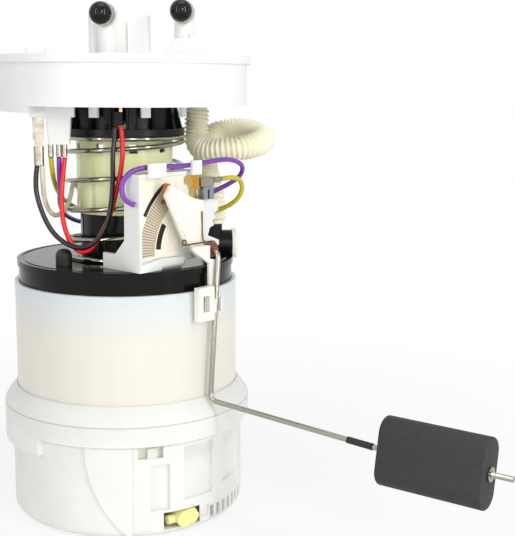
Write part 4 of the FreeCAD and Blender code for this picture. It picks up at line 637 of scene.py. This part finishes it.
def edge_moved(name, old_side, new_side, finish):
    """A copy of a CAD piece whose vertices at old_side, in mm across the sender, stand at new_side."""
    mesh = nodes[name].data.copy()
    places = np.empty(len(mesh.vertices) * 3)
    mesh.vertices.foreach_get("co", places)
    places = places.reshape(-1, 3)
    side = (places[:, 0] * math.cos(SENDER_TURN) + places[:, 1] * math.sin(SENDER_TURN)) / MM
    on_edge = np.abs(side - old_side) < ON_EDGE
    shift = (new_side - old_side) * MM
    places[on_edge] += shift * np.array([math.cos(SENDER_TURN), math.sin(SENDER_TURN), 0.0])
    mesh.vertices.foreach_set("co", places.ravel())
    mesh.materials.clear()
    mesh.materials.append(finish)
    piece = bpy.data.objects.new(name + "_full", mesh)
    bpy.context.scene.collection.objects.link(piece)
    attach(piece, "reservoir")
    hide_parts(name)
    print(name, "vertices moved:", int(on_edge.sum()))


edge_moved("sender_bracket", -32.0, -33.9, white_bracket)
edge_moved("sender_card", -31.8, -33.7, card_cream)

# %% [markdown]
# ## Resistor track
# The track is a film on the card, an arc round the lever's pivot whose outer side is cut off by the card's
# left edge. Its section is a flat bar, carried round the pivot. The map on it is the arc's length against the
# distance from the pivot, both in millimetres, and lets the cuts fan out.

# %% Track film
PIVOT_SIDE, PIVOT_LEVEL = 5.3, 144.6
CARD_FRONT = 47.3
FILM = 0.15
FILM_INNER, FILM_OUTER = 29.0, 39.0
FILM_LEFT = -33.5
FILM_START, FILM_END, FILM_STEPS = 121.0, 181.6, 60
ARC_PER_DEGREE = 0.6
CORNERS = 4


def film_section(angle):
    """Reach from the pivot and height of the film's four corners, outer, inner, inner, outer, at each angle.

    The outer reach r stops at FILM_OUTER, or where pivot + r * cos angle meets the card's left edge.
    """
    to_left_edge = (PIVOT_SIDE - FILM_LEFT) / -np.minimum(np.cos(angle), -0.01)
    outer = np.minimum(FILM_OUTER, to_left_edge)
    inner = np.full(len(angle), FILM_INNER)
    return np.stack([outer, inner, inner, outer], axis=1), CARD_FRONT + np.array([0.0, 0.0, FILM, FILM])


angle = np.radians(np.linspace(FILM_START, FILM_END, FILM_STEPS))
reach, height = film_section(angle)
film_grid = from_sender(PIVOT_SIDE + reach * np.cos(angle)[:, None], height,
                        PIVOT_LEVEL + reach * np.sin(angle)[:, None])
film = new_piece("track_film", film_grid, ring_quads(FILM_STEPS, CORNERS) + end_faces(FILM_STEPS, CORNERS),
                 track_tan)
arc = np.degrees(angle)[:, None] * ARC_PER_DEGREE
film_map = np.stack(np.broadcast_arrays(arc, reach), axis=-1).reshape(-1, 2)
uv = film.data.uv_layers.new(name="round_the_pivot")
corner = np.empty(len(film.data.loops), dtype=np.int32)
film.data.loops.foreach_get("vertex_index", corner)
uv.data.foreach_set("uv", film_map[corner].ravel())
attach(film, "reservoir")
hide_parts("resistor_track")
print("track's arc in mm:", round(float(arc[-1, 0] - arc[0, 0]), 1))

# %% [markdown]
# ## Float
# The float is cut foam with flat sides and round ends. Its section is carried along the rod: a half circle
# above and below, joined by flat sides, leaning a little about the rod. The same function closes on itself
# through the bore, so the foam has a real hole for the rod.

# %% Float and washer
ROD = 0.00135
ROD_TURN = math.radians(47.0)
RUN = np.array([math.sin(ROD_TURN), -math.cos(ROD_TURN), 0.0])
ROD_OUT = 63.6
ELBOW = from_sender(1.1, ROD_OUT, 62.0) + RUN * 0.0964
BORE = ROD + 0.00006
START, END = 0.0045, 0.0570
HALF_WIDTH, HALF_STRAIGHT = 0.0078, 0.0085
EDGE = 0.0008
QUARTER = np.radians([0, 30, 60, 90])


def section_ring(straight, radius, around=72, lean=math.radians(11.0)):
    """Ring of a flat-sided section: radius * (cos, sin), its halves moved up and down by straight."""
    angle = (np.arange(around) + 0.5) * 2 * np.pi / around
    across = np.array([math.cos(ROD_TURN), math.sin(ROD_TURN), 0.0])
    up = np.array([0.0, 0.0, 1.0])
    thin, tall = math.cos(lean) * across - math.sin(lean) * up, math.sin(lean) * across + math.cos(lean) * up
    climb = radius * np.sin(angle) + straight * np.sign(np.sin(angle))
    return radius * np.cos(angle)[:, None] * thin + climb[:, None] * tall


def threaded(name, profile, finish, node, body):
    """Closed piece round the rod: a ring at ELBOW + RUN * along for each (along, straight, radius)."""
    rings = np.array([ELBOW + RUN * along + section_ring(straight, radius)
                      for along, straight, radius in profile])
    piece = new_piece(name, rings, ring_quads(*rings.shape[:2], closed=True), finish)
    shade_smooth(piece, 38)
    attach(piece, body)
    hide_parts(node)


def quarter_round(end, inward):
    """Rounded edge at an end of the float: EDGE * (1 - sin) inward, and EDGE * (1 - cos) less radius."""
    return [(end + inward * EDGE * (1 - math.sin(turn)), HALF_STRAIGHT,
             HALF_WIDTH - EDGE * (1 - math.cos(turn))) for turn in QUARTER]


float_profile = [(START, 0.0, BORE), *quarter_round(START, 1)[::-1],
                 *quarter_round(END, -1), (END, 0.0, BORE)]
threaded("foam_float", float_profile, foam, "level_float", "float")
washer_profile = [(END + 0.0003, 0.0, BORE), (END + 0.0003, 0.0, 0.0034), (END + 0.0009, 0.0, 0.0034),
                  (END + 0.0012, 0.0, 0.0022), (END + 0.0012, 0.0, BORE)]
threaded("push_on_washer", washer_profile, rod_steel, "push_washer", "float_arm")
print("float in mm:", round((END - START) / MM, 1), "x", round(2 * (HALF_WIDTH + HALF_STRAIGHT) / MM, 1))

# %% [markdown]
# ## Float rod
# The rod is bent wire: straight runs joined by short curves. It is the pivot pin in the sender, the upright
# arm, the sloping run and the float's axle in one. A short black sleeve sits on the sloping run, next to the
# float.

# %% Rod and sleeve
KNEE = from_sender(-0.7, ROD_OUT, 67.9)
PIN_END = from_sender(PIVOT_SIDE, 44.9, PIVOT_LEVEL)
PIN_HEAD = from_sender(PIVOT_SIDE, ROD_OUT, PIVOT_LEVEL)
ROD_TIP = ELBOW + RUN * 0.068
BEND = 0.0045
SLEEVE_WALL = 0.0003
SLEEVE_FAR, SLEEVE_NEAR = 0.015, 0.0012


def bent_line(points, radius, steps=10):
    """Straight runs joined at each corner P by the parabola (1-t)^2 A + 2t(1-t) P + t^2 B."""
    line = [points[0]]
    share = np.linspace(0, 1, steps)[:, None]
    for before, corner, after in zip(points, points[1:], points[2:]):
        back = (before - corner) / np.linalg.norm(before - corner)
        ahead = (after - corner) / np.linalg.norm(after - corner)
        half_turn = (np.pi - math.acos(float(np.clip(back @ ahead, -1, 1)))) / 2
        reach = radius * math.tan(half_turn)
        first, last = corner + back * reach, corner + ahead * reach
        line.extend((1 - share) ** 2 * first + 2 * share * (1 - share) * corner + share ** 2 * last)
    line.append(points[-1])
    return np.array(line)


rod_line = bent_line(np.array([PIN_END, PIN_HEAD, KNEE, ELBOW, ROD_TIP]), BEND)
rod = tube("bent_float_rod", rod_line, ROD, rod_steel, 24)
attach(rod, "float_arm")
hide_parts("float_rod")
slope = (ELBOW - KNEE) / np.linalg.norm(ELBOW - KNEE)
sleeve_line = ELBOW - slope * np.linspace(SLEEVE_FAR, SLEEVE_NEAR, 12)[:, None]
sleeve = tube("rod_sleeve_tube", sleeve_line, ROD + SLEEVE_WALL, black_rubber, 24)
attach(sleeve, "float_arm")
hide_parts("rod_sleeve")
print("rod length in mm:", round(float(np.linalg.norm(np.diff(rod_line, axis=0), axis=1).sum()) / MM, 1))

# %% [markdown]
# ## Thin wire on the lever
# A bronze wire presses the lever to the card. It is one bent piece with an eyelet at its left end, and a
# second run that stands up along the lever. The eyelet is most of a circle that leaves along its own tangent.

# %% Lever wire
WIRE_OUT = 57.9
EYE_SIDE, EYE_LEVEL, EYE_RADIUS = -13.4, 150.6, 1.3
THIN_WIRE = 0.00038

eye = np.radians(np.linspace(-420, -90, 24))
eyelet = from_sender(EYE_SIDE + EYE_RADIUS * np.cos(eye), WIRE_OUT, EYE_LEVEL + EYE_RADIUS * np.sin(eye))
run = from_sender(np.array([0.0, 7.6, 9.2, 9.6]), np.array([WIRE_OUT, WIRE_OUT, 57.6, 57.2]),
                  np.array([149.3, 149.3, 148.4, 146.6]))
standing = from_sender(np.array([0.8, 1.1, 1.3, 1.4]), np.array([56.5, 56.5, 56.8, WIRE_OUT]),
                       np.array([165.0, 152.4, 150.4, 149.4]))
for wire_name, wire_line in (("lever_wire", np.vstack([eyelet, run])), ("lever_wire_standing", standing)):
    wire = tube(wire_name, wire_line, THIN_WIRE, spring_bronze, 12)
    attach(wire, "float_arm")
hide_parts("lever_spring")
print("lever wire is", round(2 * THIN_WIRE / MM, 2), "mm thick")

# %% [markdown]
# ## Gusset of the return pipe
# A moulded web braces the return pipe's riser on its right side. It is a flat plate with a slanted end, and a
# small bevel stands for the moulding's radius.

# %% Gusset
GUSSET = np.array([(34.0, 241.8), (50.2, 241.8), (50.2, 245.6), (42.6, 253.8), (34.0, 253.8)])
GUSSET_BACK, GUSSET_FRONT = -2.4, -14.2

plates = np.array([[(x, y, z) for x, z in GUSSET] for y in (GUSSET_BACK, GUSSET_FRONT)]) * MM
gusset_faces = ring_quads(2, len(GUSSET)) + end_faces(2, len(GUSSET))
gusset = new_piece("return_gusset", plates, gusset_faces, acetal_white)
rounding = gusset.modifiers.new("rounding", "BEVEL")
rounding.width = 0.0005
rounding.segments = 2
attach(gusset, "tank_flange")
print("gusset in mm:", np.round(np.ptp(plates.reshape(-1, 3), axis=0) / MM, 1))

# %% [markdown]
# ## Routes of the leads
# Five thin leads leave the crimps under the flange. Each one hangs in its own loop, leaves its crimp straight
# and runs into the next terminal: two to the brass post in the middle, two round the back to the sender, and
# one into the lid. The points are the control points of the smooth line, in metres.

# %% Routes of the leads
LEAD = 0.0025
LEAD_STEP = 0.0008

lead_routes = {
    "black_lead": [
        (-0.0436, -0.0320, 0.1877), (-0.0450, -0.0330, 0.1790), (-0.0430, -0.0350, 0.1680),
        (-0.0380, -0.0370, 0.1560), (-0.0310, -0.0380, 0.1490), (-0.0230, -0.0385, 0.1460),
        (-0.0160, -0.0385, 0.1486), (-0.0100, -0.0380, 0.1560), (-0.0070, -0.0380, 0.1680),
        (-0.0060, -0.0370, 0.1810), (-0.0060, -0.0360, 0.1930), (-0.0049, -0.0344, 0.2010),
        (-0.0046, -0.0339, 0.2072)],
    "red_lead": [
        (-0.0299, -0.0320, 0.1916), (-0.0314, -0.0342, 0.1790), (-0.0320, -0.0345, 0.1660),
        (-0.0308, -0.0351, 0.1565), (-0.0277, -0.0357, 0.1485), (-0.0233, -0.0359, 0.1437),
        (-0.0182, -0.0359, 0.1447), (-0.0137, -0.0356, 0.1508), (-0.0097, -0.0353, 0.1582),
        (-0.0067, -0.0350, 0.1660), (-0.0040, -0.0350, 0.1760), (-0.0014, -0.0350, 0.1880),
        (-0.0008, -0.0346, 0.1990), (-0.0017, -0.0339, 0.2072)],
    "yellow_lead": [
        (-0.0367, -0.0320, 0.1916), (-0.0364, -0.0302, 0.1850), (-0.0360, -0.0210, 0.1775),
        (-0.0346, -0.0060, 0.1705), (-0.0322, 0.0120, 0.1645), (-0.0250, 0.0260, 0.1580),
        (-0.0100, 0.0350, 0.1540), (0.0080, 0.0360, 0.1535), (0.0240, 0.0280, 0.1540),
        (0.0350, 0.0140, 0.1560), (0.0410, 0.0, 0.1585), (0.0490, -0.0062, 0.1612),
        (0.0560, -0.0094, 0.1644), (0.0608, -0.0122, 0.1692), (0.0622, -0.0150, 0.1756),
        (0.0582, -0.0176, 0.1808), (0.0496, -0.0228, 0.1796)],
    "purple_lead": [
        (-0.0327, -0.0320, 0.1916), (-0.0330, -0.0304, 0.1845), (-0.0332, -0.0220, 0.1740),
        (-0.0348, -0.0060, 0.1650), (-0.0326, 0.0140, 0.1560), (-0.0225, 0.0335, 0.1495),
        (-0.0050, 0.0400, 0.1500), (0.0130, 0.0385, 0.1540), (0.0270, 0.0280, 0.1585),
        (0.0348, 0.0130, 0.1630), (0.0390, 0.0035, 0.1664), (0.0460, -0.0025, 0.1704),
        (0.0544, -0.0046, 0.1746), (0.0616, -0.0076, 0.1796), (0.0626, -0.0130, 0.1860),
        (0.0560, -0.0186, 0.1896), (0.0475, -0.0238, 0.1896), (0.0387, -0.0296, 0.1882),
        (0.0276, -0.0396, 0.1875), (0.0172, -0.0490, 0.1882), (0.0093, -0.0544, 0.1882),
        (0.0023, -0.0563, 0.1864), (-0.0016, -0.0568, 0.1810), (-0.0016, -0.0574, 0.1750),
        (0.0012, -0.0590, 0.1714), (0.0045, -0.0592, 0.1704)],
    "ground_lead": [
        (-0.0410, -0.0320, 0.1877), (-0.0413, -0.0310, 0.1790), (-0.0405, -0.0270, 0.1670),
        (-0.0365, -0.0220, 0.1604), (-0.0320, -0.0140, 0.1620), (-0.0289, -0.0060, 0.1680),
        (-0.0280, 0.0, 0.1750), (-0.0266, 0.0080, 0.1750), (-0.0226, 0.0160, 0.1660),
        (-0.0186, 0.0206, 0.1540), (-0.0174, 0.0214, 0.1355)],
}
print("control points:", {name: len(route) for name, route in lead_routes.items()})

# %% [markdown]
# ## Leads
# Each lead is a tube in soft vinyl. Vinyl is glossy, and its shine is a thin line that follows every bend.
# The flange moves on its spring. A span from the pot to the flange is picked for each lead, but the lead is
# not
# blended along it: the whole lead stays where it is built.

# %% Leads
SPRING_FOOT = 0.1367
TO_FLANGE = ((0, 0, SPRING_FOOT), (0, 0, 0.190))
# The leads to the sender get a slanted span instead.
TO_SENDER = ((-0.0225, 0, 0.151), (-0.0468, 0, 0.1656))


def vinyl(name, light, dark):
    """Vinyl insulation: strong even colour, soft gloss, faint unevenness from extrusion."""
    return moulded(name, light, dark, rough=(0.20, 0.30), grain_mm=0.6, grain=0.05, cloud_mm=8.0)


lead_finish = {
    "black_lead": (vinyl("black_vinyl", "#121212", "#070707"), "black_wire"),
    "red_lead": (vinyl("red_vinyl", "#EE1418", "#D20D12"), "red_wire"),
    "yellow_lead": (vinyl("yellow_vinyl", "#CDBE26", "#B0A11C"), "yellow_wire"),
    "purple_lead": (vinyl("purple_vinyl", "#8747B4", "#6F349C"), "purple_wire"),
    "ground_lead": (vinyl("natural_vinyl", "#E4E0CC", "#CFCAB2"), "white_wire"),
}
for name, route in lead_routes.items():
    line, along = even_steps(smooth_line(name, np.array(route)), LEAD_STEP)
    finish, slot_name = lead_finish[name]
    lead = tube(name + "_insulation", line, LEAD / 2, finish, 18)
    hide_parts(name)
    start, end = TO_SENDER if name in ("yellow_lead", "purple_lead") else TO_FLANGE
    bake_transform(lead)
    print(name, "length in mm:", round(along[-1] / MM, 1))

# %% [markdown]
# ## Corrugated hose
# The return hose is blown nylon with a rib every 2.3 mm, so that it can bend in a tight loop without closing.
# Its radius is a wave along its length, and the last millimetres at each end are smooth cuffs.

# %% Hose
RIB_PITCH = 0.0023
HOSE_TOP, HOSE_VALLEY = 0.0068, 0.0055
HOSE_END, CUFF_FADE = 0.0015, 0.001
RIB_SHAPE = 0.7
POINTS_PER_RIB = 9
hose_route = [
    (0.0400, 0.0160, 0.2170), (0.0396, 0.0160, 0.2060), (0.0392, 0.0135, 0.1960), (0.0440, 0.0060, 0.1922),
    (0.0540, 0.0005, 0.1932), (0.0660, 0.0010, 0.1946), (0.0760, 0.0120, 0.1968), (0.0780, 0.0270, 0.1996),
    (0.0700, 0.0410, 0.2022), (0.0580, 0.0470, 0.2020), (0.0485, 0.0420, 0.1980), (0.0450, 0.0320, 0.1890),
    (0.0455, 0.0200, 0.1780), (0.0485, 0.0070, 0.1655), (0.0485, 0.0070, 0.1527)]
line, along = even_steps(smooth_line("hose", np.array(hose_route)), RIB_PITCH / POINTS_PER_RIB)
wave = 0.5 - 0.5 * np.cos(2 * np.pi * along / RIB_PITCH)
cuff = np.clip((np.minimum(along, along[-1] - along) - HOSE_END) / CUFF_FADE, 0, 1)
hose_radius = HOSE_VALLEY + (HOSE_TOP - HOSE_VALLEY) * wave ** RIB_SHAPE * cuff
hose = tube("return_hose_ribs", line, hose_radius, hose_nylon, 40)
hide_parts("return_hose")
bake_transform(hose)
print("hose length in mm:", round(along[-1] / MM, 1))

# %% [markdown]
# ## Coil spring
# A compression spring of plated wire: both end coils lie flat, and the open coils between them climb evenly.
# The level is a piecewise line of the turn number, smoothed by a short weighted mean, and the rest is a
# circle.

# %% Spring
SEAT = 0.2020
WIRE = 0.00125
COIL = 0.031
TOUCH = 0.0001
TURNS = [-1.0, -0.7, 0.0, 1.0, 2.0, 3.0, 3.5, 4.0, 4.6]
CLIMB = [0.0, 0.0, 0.13, 0.378, 0.627, 0.874, 0.967, 1.0, 1.0]
STEPS = 1000
MEAN_OVER = 61


def spring_line(low, high):
    """Helix: (COIL cos, COIL sin) of 2 pi turn + pi, and level low + (high - low) * climb(turn)."""
    turn = np.linspace(TURNS[0], TURNS[-1], STEPS)
    weights = np.hanning(MEAN_OVER)
    weights /= weights.sum()
    climb = np.convolve(np.pad(np.interp(turn, TURNS, CLIMB), MEAN_OVER // 2, mode="edge"), weights, "valid")
    angle = np.pi + 2 * np.pi * turn
    return np.column_stack([COIL * np.cos(angle), COIL * np.sin(angle), low + (high - low) * climb])


low, high = SPRING_FOOT + WIRE + TOUCH, SEAT - WIRE - TOUCH
spring = tube("coil_spring_wire", spring_line(low, high), WIRE, spring_wire, 24)
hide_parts("coil_spring")
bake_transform(spring)
print("spring height in mm:", round((high - low) / MM, 1))
